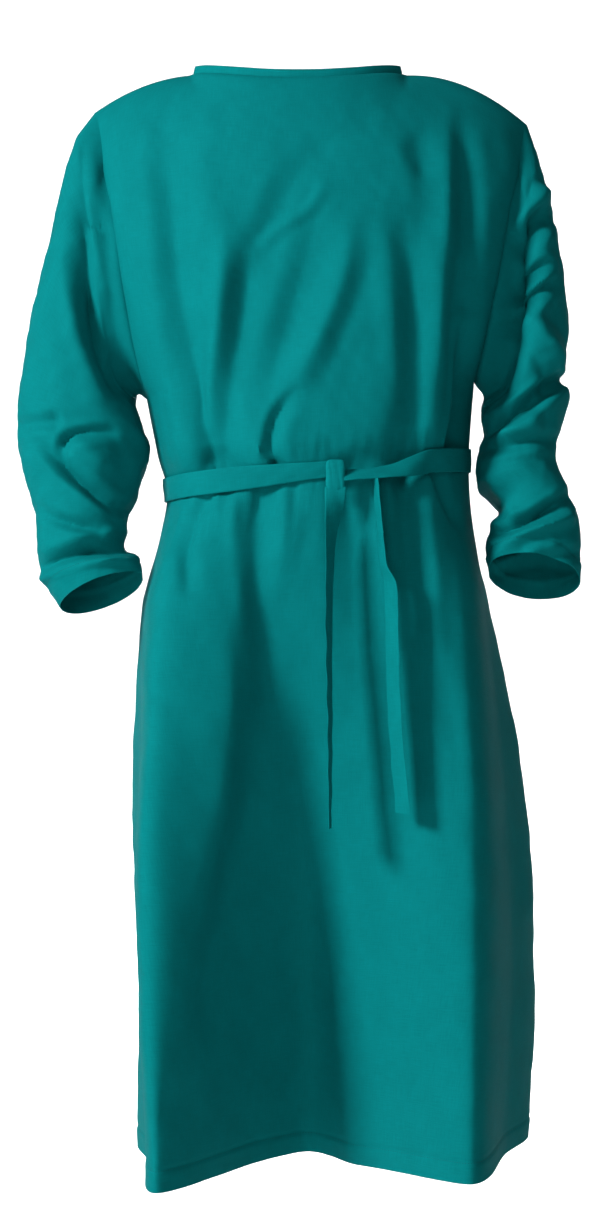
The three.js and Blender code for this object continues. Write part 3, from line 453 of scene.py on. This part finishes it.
def back_panel(name, node, from_across, to_across, inner, seed):
    """Half of the back: the body's back between two places across that move with the drop, creased as the
    front is, and moved in where the other half laps over it."""
    lap = LAP_AT_NECK + (LAP_AT_HEM - LAP_AT_NECK) * rows / GOWN_LENGTH
    start, end = from_across(lap), to_across(lap)
    across = start + (end - start) * np.linspace(0, 1, 84)[None]
    grid = relaxed(body(across, rows, "back"), across, rows)
    normal = normals_of(grid)
    x, z, drops = grid[..., 0], grid[..., 2], np.broadcast_to(rows, grid.shape[:2])
    height = creases(x, z, BACK_CREASES) + gathers(x, drops, 5, 34, 150)
    height += 0.9 * ripples(x, z, seed, 14, 95, 1.6) + 0.3 * ripples(x, z, seed + 1, 20, 34, 1.3)
    height = under_belt(height, drops) * (1 - np.abs(across) ** 10) * smooth(rows / 70)
    height += folded_hem(drops, GOWN_LENGTH, HEM_DEPTH)
    if inner:
        height -= LAP_SHIFT * smooth((across + lap + LAP_BLEND) / (LAP_BLEND * 0.75))
    grid = grid + height[..., None] * normal
    return cloth_piece(name, grid, CLOTH_THICKNESS, node), grid


back_left, back_left_grid = back_panel(
    "back_left_cloth", "back_panel_left", lambda lap: 1 + 0 * lap, lambda lap: -lap, False, 21
)
back_right, back_right_grid = back_panel(
    "back_right_cloth", "back_panel_right", lambda lap: lap, lambda lap: -1 + 0 * lap, True, 23
)
back_left.data.materials.append(gown_cloth)
back_right.data.materials.append(gown_cloth)

# ---------------------------------------------------------------- sleeves
# One-piece sleeves set into the armholes, with plain turned cuffs. They are pushed up, so the cloth lies in
# slanting folds round the elbow and forearm.
# Sections from the shoulder down: outer end (x, z), inner end (x, z), y, half depth, forward pitch in degrees
SLEEVE_SECTIONS = {
    "right": [
        (-250, -75, -183, -350, 2, 58, 0),
        (-263, -116, -184, -357, 2, 64, 0),
        (-275, -170, -184, -365, 1, 67, 0),
        (-289, -225, -182, -376, 0, 68, 0),
        (-301, -278, -178, -388, 0, 67, 0),
        (-308, -326, -172, -401, -1, 66, 0),
        (-313, -370, -172, -418, -3, 64, 2),
        (-311, -410, -179, -440, -6, 61, 4),
        (-301, -448, -186, -464, -11, 58, 8),
        (-291, -484, -193, -488, -17, 54, 11),
        (-289, -520, -193, -508, -23, 51, 14),
        (-284, -546, -181, -524, -28, 49, 17),
        (-264, -577, -177, -546, -34, 46, 20),
    ],
    "left": [
        (244, -94, 183, -350, 2, 58, 0),
        (256, -140, 185, -357, 2, 64, 0),
        (266, -188, 184, -365, 1, 66, 0),
        (273, -240, 183, -373, 0, 66, 0),
        (277, -288, 182, -383, -1, 64, 0),
        (266, -331, 180, -395, -3, 61, 1),
        (277, -350, 179, -408, -5, 62, 3),
        (265, -398, 177, -430, -9, 60, 6),
        (263, -426, 178, -451, -13, 58, 10),
        (277, -458, 199, -473, -18, 55, 15),
        (286, -492, 190, -492, -24, 54, 20),
        (287, -524, 186, -515, -29, 52, 24),
        (285, -550, 189, -538, -34, 50, 28),
    ],
}
SLEEVE_CREASES = {
    "right": [
        ([(-226, -66), (-241, -118), (-239, -202), (-226, -286), (-199, -339)], (-3, -5, -7, -8, -6), (9, 16), 9),
        ([(-223, -79), (-229, -97), (-220, -134), (-194, -192)], (2, 4, 4, 0), (5, 5), 4),
        ([(-214, -150), (-208, -220), (-198, -290), (-186, -344)], (-3, -9, -12, -8), (16, 6), 5),
        ([(-236, -170), (-213, -178), (-194, -196)], (0, -7, -6), (3, 6), 2),
        ([(-226, -183), (-210, -244), (-195, -304)], (2, 6, 3), (6, 7), 5),
        ([(-252, -190), (-236, -250), (-214, -312)], (0, -5, -2), (7, 7), 5),
        ([(-290, -398), (-257, -433), (-208, -470), (-192, -476)], (0, -7, -7, -3), (4, 6), 2),
        ([(-210, -392), (-247, -396), (-260, -409), (-257, -430)], (-2, -6, -6, 0), (4, 5), 2.5),
        ([(-236, -410), (-222, -424)], (5, 5), (12, 12), 9),
        ([(-306, -384), (-270, -381)], (-3, -4), (5, 5), 4),
        ([(-288, -472), (-267, -485), (-220, -496)], (-1, -5, -3), (4, 5), 3),
        ([(-280, -534), (-226, -517), (-188, -512)], (-5, -10, -8), (6, 7), 4),
        ([(-282, -545), (-247, -530), (-200, -527), (-181, -539)], (3, 4, 4, 2), (4, 4), 3),
        ([(-268, -300), (-230, -340)], (3, 0), (12, 12), 9),
    ],
    "left": [
        ([(226, -78), (232, -130), (226, -220), (208, -300), (190, -344)], (-2, -4, -6, -6, -5), (13, 9), 8),
        ([(246, -138), (215, -173)], (6, 8), (6, 6), 4),
        ([(216, -150), (208, -220), (198, -290), (188, -346)], (-3, -8, -11, -8), (6, 15), 5),
        ([(250, -164), (218, -196)], (-8, -13), (6, 7), 3),
        ([(248, -216), (222, -236), (190, -258)], (-6, -12, -11), (4, 5), 2),
        ([(254, -236), (228, -256), (197, -284)], (-4, -10, -9), (4, 6), 2),
        ([(228, -276), (248, -300), (266, -328)], (5, 9, 5), (8, 9), 6),
        ([(261, -337), (230, -362), (199, -381), (168, -407)], (-6, -9, -9, -4), (5, 6), 3),
        ([(262, -400), (220, -404), (173, -412)], (-3, -5, -4), (5, 5), 3.5),
        ([(232, -384), (208, -396)], (4, 4), (7, 7), 6),
        ([(277, -459), (231, -485), (194, -497)], (-5, -8, -7), (5, 5), 3),
        ([(270, -483), (225, -498), (191, -527)], (4, 5, 2), (4, 5), 4),
        ([(178, -452), (199, -480)], (-3, -5), (5, 5), 4),
        ([(280, -520), (240, -528)], (-3, -4), (5, 5), 4),
    ],
}
BACK_OF_SLEEVE_CREASES = {
    "right": [
        ([(-232, -80), (-238, -200), (-206, -320)], (-2, -6, -6), (12, 12), 9),
        ([(-270, -230), (-228, -262), (-190, -330)], (0, -6, -7), (6, 8), 5),
        ([(-298, -330), (-250, -352), (-184, -396)], (-3, -8, -6), (6, 7), 4),
        ([(-300, -398), (-250, -412), (-192, -448)], (-4, -8, -5), (5, 6), 3),
        ([(-290, -452), (-240, -462), (-196, -486)], (-3, -7, -4), (5, 6), 3),
        ([(-284, -516), (-236, -506), (-190, -514)], (-4, -8, -5), (6, 6), 4),
        ([(-262, -300), (-222, -322)], (4, 4), (9, 9), 7),
    ],
    "left": [
        ([(228, -90), (232, -200), (204, -320)], (-2, -6, -6), (12, 12), 9),
        ([(258, -250), (224, -282), (188, -340)], (0, -6, -7), (7, 6), 5),
        ([(262, -340), (228, -356), (182, -392)], (-4, -8, -6), (6, 6), 4),
        ([(262, -412), (226, -420), (184, -442)], (-4, -7, -5), (5, 5), 3),
        ([(276, -470), (236, -480), (196, -500)], (-3, -7, -4), (5, 6), 3),
        ([(280, -524), (240, -518), (196, -528)], (-4, -7, -5), (5, 6), 4),
        ([(250, -296), (214, -314)], (4, 4), (9, 9), 7),
    ],
}
SLEEVE_RINGS, SLEEVE_COLUMNS = 170, 116
SLEEVE_CREASE_GAIN, SEAM_EASE, CUFF_DEPTH, SECTION_STEP = 1.2, 1.6, 18, 26.6


def sleeve(side, name, node, seed):
    """A tube through the armhole's own edge and the sections, each an ellipse between its outer and inner end
    with its front tipped up by the pitch; folds are added along the normals, front and back each its own,
    stronger where the cloth faces front or back, and none at the armhole seam."""
    turn = np.arange(SLEEVE_COLUMNS) / SLEEVE_COLUMNS
    edge = -1 if side == "right" else 1
    if edge > 0:
        turn = (1 - turn) % 1
    round_hole = 2 * np.minimum(turn, 1 - turn)
    hole_drop = UNDERARM_DROP * (1 - np.cos(np.pi * round_hole)) / 2
    in_front = (turn <= 0.5)[:, None]
    hole = np.where(in_front, body(edge, hole_drop, "front"), body(edge, hole_drop, "back"))
    sections = np.array(SLEEVE_SECTIONS[side], float)[:, None]
    outward, forward = np.cos(2 * np.pi * turn), np.sin(2 * np.pi * turn)
    outer_x, outer_z, inner_x, inner_z, y, half_depth, pitch = np.moveaxis(sections, -1, 0)
    rings = np.stack(
        [
            inner_x + (outer_x - inner_x) * (1 + outward) / 2,
            y - forward * half_depth * np.cos(np.radians(pitch)),
            inner_z + (outer_z - inner_z) * (1 + outward) / 2 + forward * half_depth * np.sin(np.radians(pitch)),
        ],
        axis=-1,
    )
    rings = np.concatenate([hole[None], rings])
    along = np.linspace(0, len(rings) - 1, SLEEVE_RINGS)
    grid = np.einsum("rk,kcd->rcd", spline_weights(np.arange(len(rings)), along, DOWN_TENSION), rings)
    normal = normals_of(grid, closed=True)
    x, z = grid[..., 0], grid[..., 2]
    facing = smooth(0.5 - normal[..., 1] * 1.4)
    height = facing * creases(x, z, SLEEVE_CREASES[side])
    height += (1 - facing) * creases(x, z, BACK_OF_SLEEVE_CREASES[side])
    height *= 1 + SLEEVE_CREASE_GAIN * np.abs(normal[..., 1])
    height += 0.8 * ripples(x, z + grid[..., 1], seed, 14, 70, 0.8)
    height += 0.3 * ripples(x, z - grid[..., 1], seed + 1, 20, 30, 1)
    height *= smooth(along / SEAM_EASE)[:, None]
    height += folded_hem(SECTION_STEP * along[:, None], SECTION_STEP * along[-1], CUFF_DEPTH)
    grid = grid + height[..., None] * normal
    return cloth_piece(name, grid, CLOTH_THICKNESS, node, closed=True), grid


sleeve_right, right_grid = sleeve("right", "sleeve_right_cloth", "sleeve_right", 31)
sleeve_left, left_grid = sleeve("left", "sleeve_left_cloth", "sleeve_left", 33)
sleeve_right.data.materials.append(gown_cloth)
sleeve_left.data.materials.append(gown_cloth)

# ---------------------------------------------------------------- neck binding
# A strip of the gown's cloth folded over the raw neckline and sewn down; it stands about 8 mm above it and
# runs on over the lap of the two back halves.
BINDING_HEIGHT, BINDING_THICKNESS, BINDING_LEAN, BINDING_BELOW = 8, 2, 0.2, 3
SEAM_GAP = 0.4
NECK_EDGE = NECK_SHARE * 0.97


def binding_frames(across, face, shift):
    """Centre, upward and outward directions of the binding on the neckline: square to the neckline seen from
    above and leaning in a little."""
    along = top_edge(across + 0.01, face) - top_edge(across - 0.01, face)
    out = np.stack([along[:, 1], -along[:, 0], 0 * across], axis=-1) * (1 if face == "front" else -1)
    out = unit(out)
    up = unit(np.array([0, 0, 1]) - BINDING_LEAN * out)
    centre = top_edge(across, face) - out * (BINDING_THICKNESS / 2 + shift)[:, None]
    centre = centre + up * (BINDING_HEIGHT / 2 + SEAM_GAP + 0.3 - BINDING_BELOW / 2)
    out = out - up * (out * up).sum(-1, keepdims=True)
    return centre, up, unit(out)


def rounded_strip(name, node, centre, across, out, width, thickness, wave=0.0, seed=1, sides=20):
    """A folded strip as a closed tube: at each place along it the section is a flattened superellipse of the
    strip's width and thickness, set by its directions across and out, with closed ends."""
    angle = 2 * np.pi * np.arange(sides) / sides
    flat = np.sign(np.cos(angle)) * np.abs(np.cos(angle)) ** 0.75
    thick = np.sign(np.sin(angle)) * np.abs(np.sin(angle)) ** 0.55
    width = np.broadcast_to(width, len(centre))[:, None]
    run = np.cumsum(np.linalg.norm(np.diff(centre, axis=0, prepend=centre[:1]), axis=-1))[:, None]
    uneven = wave * ripples(run + 0 * flat, width * flat, seed, 9, 46, 1)
    groove = 0.28 * np.exp(-(((np.abs(flat) - 0.74) / 0.09) ** 2)) * np.sign(thick)
    lift = thickness / 2 * thick - groove * (np.abs(thick) > 0.4) + uneven
    grid = (
        centre[:, None]
        + across[:, None] * (width * flat / 2)[..., None]
        + out[:, None] * lift[..., None]
    )
    if np.einsum("i,i", np.cross(across[0], out[0]), centre[1] - centre[0]) > 0:
        grid = grid[:, ::-1]
    return cloth_piece(name, grid, 0, node, closed=True)


back_start = np.linspace(-LAP_AT_NECK, NECK_EDGE, 40)
over_front = np.linspace(NECK_EDGE, -NECK_EDGE, 120)
back_end = np.linspace(-NECK_EDGE, LAP_AT_NECK, 44)
lapped = LAP_SHIFT * smooth((back_end + LAP_AT_NECK + LAP_BLEND) / (LAP_BLEND * 0.75))
binding_parts = [
    binding_frames(back_start, "back", 0 * back_start),
    binding_frames(over_front, "front", 0 * over_front),
    binding_frames(back_end, "back", lapped),
]
binding_centre, binding_up, binding_out = (np.concatenate(group) for group in zip(*binding_parts))
neck_binding = rounded_strip(
    "neck_binding_cloth", "neck_binding", binding_centre, binding_up, binding_out,
    BINDING_HEIGHT + BINDING_BELOW, BINDING_THICKNESS * 1.2, 0.25, 41
)
trim_cloth = cloth_material("trim_cloth", 1.04)
neck_binding.data.materials.append(trim_cloth)

# ---------------------------------------------------------------- belt, knot and ends
# A flat folded and sewn strip of the same cloth, about 25 mm wide, round the waist. It is tied in front with
# a half knot: a band over the belt, from which one end hangs edge on, and a turned end from under the belt.
BELT_WIDTH, BELT_WIDTH_AT_KNOT, BELT_THICKNESS, KNOT_REACH = 25, 17, 1.8, 0.5
LYING_GAP = 0.9
KNOT_AT, KNOT_SIZE, KNOT_OVER_BELT = (26, -442), (21, 9, 32), 5
END_IN_KNOT, END_DEPTH_IN_KNOT = 4, 0.7
TWIST_FROM, TWIST_TO, TWIST_TURN, TWIST_LIFT, TWIST_SAG = 0.62, 0.3, -60, 10, 7
BELT_END_WIDTH, LEFT_END_X, LEFT_END_BELOW = 22, 63, 6
# The hanging ends: the way down, the shift to the side and forward or back, and the turn in degrees
RIGHT_END = [
    (0, 0, 0, 0), (18, -1, -3, -22), (50, -5, -5, -60), (140, -7, -7, -72), (250, -6, -10, -78), (348, -6, -14, -84)
]
LEFT_END = [
    (0, 0, 0, 78), (45, 4, -6, 75), (88, 8, -10, 72), (108, 15, -13, 56), (170, 17, -14, 54), (250, 20, -15, 54),
    (342, 28, -15, 50)
]


def belt_frames(across, face, width):
    """Centre, upward and outward directions of the belt on the body: its edges are the body's own points."""
    upper, lower = body(across, BELT_DROP - width / 2, face), body(across, BELT_DROP + width / 2, face)
    along = body(across + 0.01, BELT_DROP, face) - body(across - 0.01, BELT_DROP, face)
    up = unit(upper - lower)
    out = unit(np.cross(along, up) * (1 if face == "front" else -1))
    return (upper + lower) / 2 + out * (LYING_GAP + BELT_THICKNESS / 2), up, out, width + 0 * across


def belt_in_front(across, knot_edge, twisted):
    """The belt in front: narrower towards the knot and, on the wearer's left, its lower edge turned forward
    and the strip sagging a little."""
    near = 1 - smooth(np.abs(across - knot_edge) / KNOT_REACH)
    centre, up, out, width = belt_frames(across, "front", BELT_WIDTH + (BELT_WIDTH_AT_KNOT - BELT_WIDTH) * near)
    share = smooth((TWIST_FROM - across) / (TWIST_FROM - TWIST_TO)) * twisted
    turn = np.radians(TWIST_TURN * share)[:, None]
    centre = centre + out * (TWIST_LIFT * share)[:, None] - up * (TWIST_SAG * share)[:, None]
    return centre, up * np.cos(turn) + out * np.sin(turn), out * np.cos(turn) - up * np.sin(turn), width


def across_at(place):
    """Where across the front panel the belt line has a given x."""
    across = np.linspace(-1, 1, 2001)
    return np.interp(place, body(across, BELT_DROP, "front")[:, 0], across)


knot_right = across_at(KNOT_AT[0] - KNOT_SIZE[0] / 2 + KNOT_OVER_BELT)
knot_left = across_at(KNOT_AT[0] + KNOT_SIZE[0] / 2 - KNOT_OVER_BELT)
belt_parts = [
    belt_in_front(np.linspace(knot_right, -1, 90), knot_right, 0),
    belt_frames(np.linspace(-1, 1, 150)[1:], "back", BELT_WIDTH),
    belt_in_front(np.linspace(1, knot_left, 90)[1:], knot_left, 1),
]
belt_centre, belt_up, belt_out, belt_width = (np.concatenate(group) for group in zip(*belt_parts))
belt = rounded_strip("belt_cloth", "belt", belt_centre, belt_up, belt_out, belt_width, 2.0, 0.45, 51)
belt.data.materials.append(trim_cloth)

knot_sides = np.array([across_at(KNOT_AT[0] - KNOT_SIZE[0] / 2), across_at(KNOT_AT[0] + KNOT_SIZE[0] / 2)])
knot_cloth = body(knot_sides[:, None], BELT_DROP + KNOT_SIZE[2] * np.array([[-0.5, 0, 0.5]]), "front")[..., 1].min()
knot_back = min(knot_cloth, belt_centre[0, 1] - BELT_THICKNESS / 2) - SEAM_GAP


def knot_band(name, node, centre, size, facing, seed):
    """The band of a half knot: a pillow-shaped closed surface, a superellipsoid of its width, depth and height,
    with two soft furrows down its face and a slight waist where the belt goes in."""
    polar = np.linspace(0.01, np.pi - 0.01, 44)[:, None]
    turn = 2 * np.pi * np.arange(60)[None] / 60
    power = lambda value, exponent: np.sign(value) * np.abs(value) ** exponent
    shape_x = power(np.sin(polar), 0.3) * power(np.cos(turn), 0.55)
    shape_y = power(np.sin(polar), 0.45) * power(np.sin(turn), 0.8)
    shape_z = power(np.cos(polar), 0.55) + 0 * turn
    waist = 1 - 0.07 * np.exp(-((shape_z / 0.35) ** 2))
    face = smooth(-facing * shape_y * 1.2)
    slant = shape_x + 0.16 * shape_z
    furrow = 0.13 * np.exp(-(((slant - 0.34) / 0.1) ** 2)) + 0.09 * np.exp(-(((slant + 0.42) / 0.08) ** 2))
    uneven = 0.03 * ripples(shape_x * 10, shape_z * 14, seed, 9, 12, 2)
    grid = np.stack(
        [
            centre[0] + size[0] / 2 * shape_x * waist,
            centre[1] + size[1] / 2 * shape_y * (1 - furrow * face + uneven),
            centre[2] + size[2] / 2 * shape_z,
        ],
        axis=-1,
    )
    return cloth_piece(name, grid, 0, node, closed=True)


knot_centre = (KNOT_AT[0], knot_back - KNOT_SIZE[1] / 2, KNOT_AT[1])
belt_knot = knot_band("belt_knot_cloth", "belt_knot", knot_centre, KNOT_SIZE, 1, 52)
belt_knot.data.materials.append(trim_cloth)


def hanging_end(name, node, start, stations, width, seed):
    """A flat end that hangs from a point through its stations, each turned by its own angle seen from above."""
    stations = np.array(stations, float)
    down = np.linspace(0, stations[-1, 0], 120)
    shift_x, shift_y, turn = (spline_weights(stations[:, 0], down, DOWN_TENSION) @ stations[:, 1:]).T
    turn = np.radians(turn)
    centre = np.stack([start[0] + shift_x, start[1] + shift_y, start[2] - down], axis=-1)
    across = np.stack([np.cos(turn), -np.sin(turn), 0 * turn], axis=-1)
    out = np.stack([-np.sin(turn), -np.cos(turn), 0 * turn], axis=-1)
    return rounded_strip(name, node, centre, across, out, width, 2.0, 0.5, seed)


right_start = (KNOT_AT[0], knot_back - KNOT_SIZE[1] * END_DEPTH_IN_KNOT, KNOT_AT[1] - KNOT_SIZE[2] / 2 + END_IN_KNOT)
over_left_end = belt_in_front(np.array([across_at(LEFT_END_X)]), knot_left, 1)[0][0]
belt_end_right = hanging_end("belt_end_right_cloth", "belt_end_right", right_start, RIGHT_END, BELT_END_WIDTH, 53)
belt_end_left = hanging_end(
    "belt_end_left_cloth", "belt_end_left", over_left_end + (0, -2, -LEFT_END_BELOW), LEFT_END, BELT_END_WIDTH, 54
)
belt_end_right.data.materials.append(trim_cloth)
belt_end_left.data.materials.append(trim_cloth)

# ---------------------------------------------------------------- neck ties
# Two narrow ties of folded cloth sewn to the ends of the binding, knotted at the nape over the lap; their
# short ends lie down the back.
TIE_WIDTH, TIE_LENGTH, TIE_START = 10, 130, 3
TIE_FROM, TIE_TO = 0.024, 0.07
TIE_KNOT = (22, 7, 11)
nape_centre, _, nape_out = (group[0] for group in binding_frames(np.array([0.0]), "back", np.zeros(1)))
tie_centre = nape_centre + nape_out * (BINDING_THICKNESS / 2 + LYING_GAP)
tie_knot = knot_band("neck_tie_knot_cloth", "neck_tie_knot", tie_centre + (0, TIE_KNOT[1] / 2, 0), TIE_KNOT, -1, 61)
tie_knot.data.materials.append(trim_cloth)


def neck_tie(name, node, side, seed):
    """A tie that follows the back of the body down from the nape, moving out from the middle as it goes."""
    share = np.linspace(0, 1, 60)
    across = side * (TIE_FROM + (TIE_TO - TIE_FROM) * share**0.7)
    drop = TIE_START + (TIE_LENGTH - TIE_START) * share
    lap = body(across, drop, "back")
    along = unit(body(across + 0.01, drop, "back") - body(across - 0.01, drop, "back"))
    out = unit(np.cross(along, body(across, drop + 1, "back") - lap))
    clear = LYING_GAP + BELT_THICKNESS / 2 + 0.6 * smooth(share * 8)
    return rounded_strip(name, node, lap + out * clear[:, None], along, out, TIE_WIDTH, 1.8, 0.2, seed)


neck_tie_right = neck_tie("neck_tie_right_cloth", "neck_tie_end_right", -1, 62)
neck_tie_left = neck_tie("neck_tie_left_cloth", "neck_tie_end_left", 1, 63)
neck_tie_right.data.materials.append(trim_cloth)
neck_tie_left.data.materials.append(trim_cloth)

# ---------------------------------------------------------------- sewing
# Lockstitch in matching thread along the hem, the cuffs and the free edge of the outer back half, about
# eight stitches to 25 mm.
STITCH_PITCH, STITCH_LONG, STITCH_WIDE, STITCH_HIGH = 3.1, 2.3, 0.34, 0.3
thread = bpy.data.materials.new("thread")
thread.use_nodes = True
thread.node_tree.nodes["Principled BSDF"].inputs["Base Color"].default_value = (0.002, 0.13, 0.135, 1)
thread.node_tree.nodes["Principled BSDF"].inputs["Roughness"].default_value = 0.6
thread.node_tree.nodes["Principled BSDF"].inputs["Specular IOR Level"].default_value = 0.1


def stitching(name, path, out):
    """A row of stitches along a path on the cloth: each is a spindle of six corners, pointed at both ends, that
    lies along the path and stands a little out of the cloth."""
    run = np.concatenate([[0], np.cumsum(np.linalg.norm(np.diff(path, axis=0), axis=-1))])
    places = np.arange(STITCH_PITCH, run[-1] - STITCH_PITCH, STITCH_PITCH)
    at = lambda values, shift=0.0: np.stack([np.interp(places + shift, run, column) for column in values.T], axis=-1)
    centre, normal = at(path), unit(at(out))
    along = unit(at(path, 1.0) - at(path, -1.0))
    side = np.cross(normal, along)
    spindle = np.array([(-1, 0, 0), (0, 1, 0), (0, 0, 1), (0, -1, 0), (0, 0, -1), (1, 0, 0)])
    spindle = spindle * (STITCH_LONG / 2, STITCH_WIDE, STITCH_HIGH)
    axes = np.stack([along, side, normal], axis=1)
    points = centre[:, None] + np.einsum("ca,nad->ncd", spindle, axes)
    sides = [(0, 2, 1), (0, 3, 2), (0, 4, 3), (0, 1, 4), (5, 1, 2), (5, 2, 3), (5, 3, 4), (5, 4, 1)]
    faces = (np.array(sides) + 6 * np.arange(len(places))[:, None, None]).reshape(-1, 3)
    mesh = bpy.data.meshes.new(name)
    mesh.from_pydata((points.reshape(-1, 3) * MM).tolist(), [], faces.tolist())
    mesh.materials.append(thread)
    row = bpy.data.objects.new(name, mesh)
    bpy.context.scene.collection.objects.link(row)
    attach(row, "root")
    return row


hem_row = int(np.argmin(np.abs(rows[:, 0] - (GOWN_LENGTH - HEM_DEPTH))))
section_count = len(SLEEVE_SECTIONS["right"])
cuff_place = section_count - CUFF_DEPTH / SECTION_STEP
cuff_row = int(np.argmin(np.abs(np.linspace(0, section_count, SLEEVE_RINGS) - cuff_place)))
front_sewing = stitching("front_hem_stitching", front[hem_row], normals_of(front)[hem_row])
back_left_sewing = stitching("back_left_hem_stitching", back_left_grid[hem_row], normals_of(back_left_grid)[hem_row])
back_right_sewing = stitching(
    "back_right_hem_stitching", back_right_grid[hem_row], normals_of(back_right_grid)[hem_row]
)
edge_sewing = stitching("back_edge_stitching", back_left_grid[8:, -3], normals_of(back_left_grid)[8:, -3])
right_cuff_sewing = stitching("cuff_right_stitching", right_grid[cuff_row], normals_of(right_grid, True)[cuff_row])
left_cuff_sewing = stitching("cuff_left_stitching", left_grid[cuff_row], normals_of(left_grid, True)[cuff_row])

# ---------------------------------------------------------------- stage, lights and camera
# A pale floor that sweeps up into a far pale backdrop, one soft lamp high on the left in front, a weak one beside
# the camera, three lamps for the backdrop and floor, and a level camera straight in front.
FLOOR_Z, FLOOR_FRONT, SWEEP_FROM, WALL_Y, WALL_TOP, HALF_WIDTH = -1.62, -9.0, 7.0, 9.5, 4.0, 7.0
turn = np.linspace(0, np.pi / 2, 25)
sweep_y = np.concatenate([[FLOOR_FRONT], SWEEP_FROM + (WALL_Y - SWEEP_FROM) * np.sin(turn), [WALL_Y]])
sweep_z = np.concatenate([[FLOOR_Z], FLOOR_Z + (WALL_Y - SWEEP_FROM) * (1 - np.cos(turn)), [WALL_TOP]])
sweep_x = np.array([[-HALF_WIDTH, HALF_WIDTH]])
sweep = np.stack(np.broadcast_arrays(sweep_x, sweep_y[:, None], sweep_z[:, None]), axis=-1)
index = np.arange(sweep[..., 0].size).reshape(-1, 2)
faces = np.stack([index[:-1, 0], index[:-1, 1], index[1:, 1], index[1:, 0]], axis=-1)
sweep_mesh = bpy.data.meshes.new("backdrop")
sweep_mesh.from_pydata(sweep.reshape(-1, 3).tolist(), [], faces.tolist())
sweep_mesh.polygons.foreach_set("use_smooth", np.ones(len(sweep_mesh.polygons), bool))
backdrop = bpy.data.objects.new("backdrop", sweep_mesh)
bpy.context.scene.collection.objects.link(backdrop)
paper = bpy.data.materials.new("backdrop_paper")
paper.use_nodes = True
paper.node_tree.nodes["Principled BSDF"].inputs["Base Color"].default_value = (0.93, 0.93, 0.93, 1)
paper.node_tree.nodes["Principled BSDF"].inputs["Roughness"].default_value = 0.9
sweep_mesh.materials.append(paper)


def lamp(name, place, aim, size, watts, spread=180):
    """A square area lamp at a place, turned to shine at a point, its beam limited to an angle."""
    data = bpy.data.lights.new(name, "AREA")
    data.size, data.energy, data.spread = size, watts, np.radians(spread)
    source = bpy.data.objects.new(name, data)
    source.location = place
    source.rotation_euler = (Vector(aim) - Vector(place)).to_track_quat("-Z", "Y").to_euler()
    bpy.context.scene.collection.objects.link(source)


lamp("key", (-3.1, -2.3, 1.3), (0, 0, -0.6), 0.9, 172)
lamp("fill", (-0.9, -4.2, 0.5), (0, 0, -0.5), 1.6, 17)
lamp("wall_left", (-3.0, 7.0, 1.6), (-0.4, 9.5, -0.3), 1.2, 120)
lamp("wall_right", (3.0, 7.0, 1.6), (0.4, 9.5, -0.3), 1.2, 120)
lamp("floor", (0, 4.4, 3.4), (0, 4.9, -1.62), 2.0, 330, 84)

world = bpy.data.worlds.new("studio")
world.use_nodes = True
world.node_tree.nodes["Background"].inputs["Color"].default_value = (1, 1, 1, 1)
world.node_tree.nodes["Background"].inputs["Strength"].default_value = 0.12
bpy.context.scene.world = world

camera_data = bpy.data.cameras.new("camera")
camera_data.lens, camera_data.sensor_width = 82.2, 36
camera = bpy.data.objects.new("camera", camera_data)
camera.location = (-0.00535, -3.0, -0.584)
camera.rotation_euler = (np.pi / 2, 0, 0)
bpy.context.scene.collection.objects.link(camera)
bpy.context.scene.camera = camera
bpy.context.scene.view_settings.view_transform = "Standard"
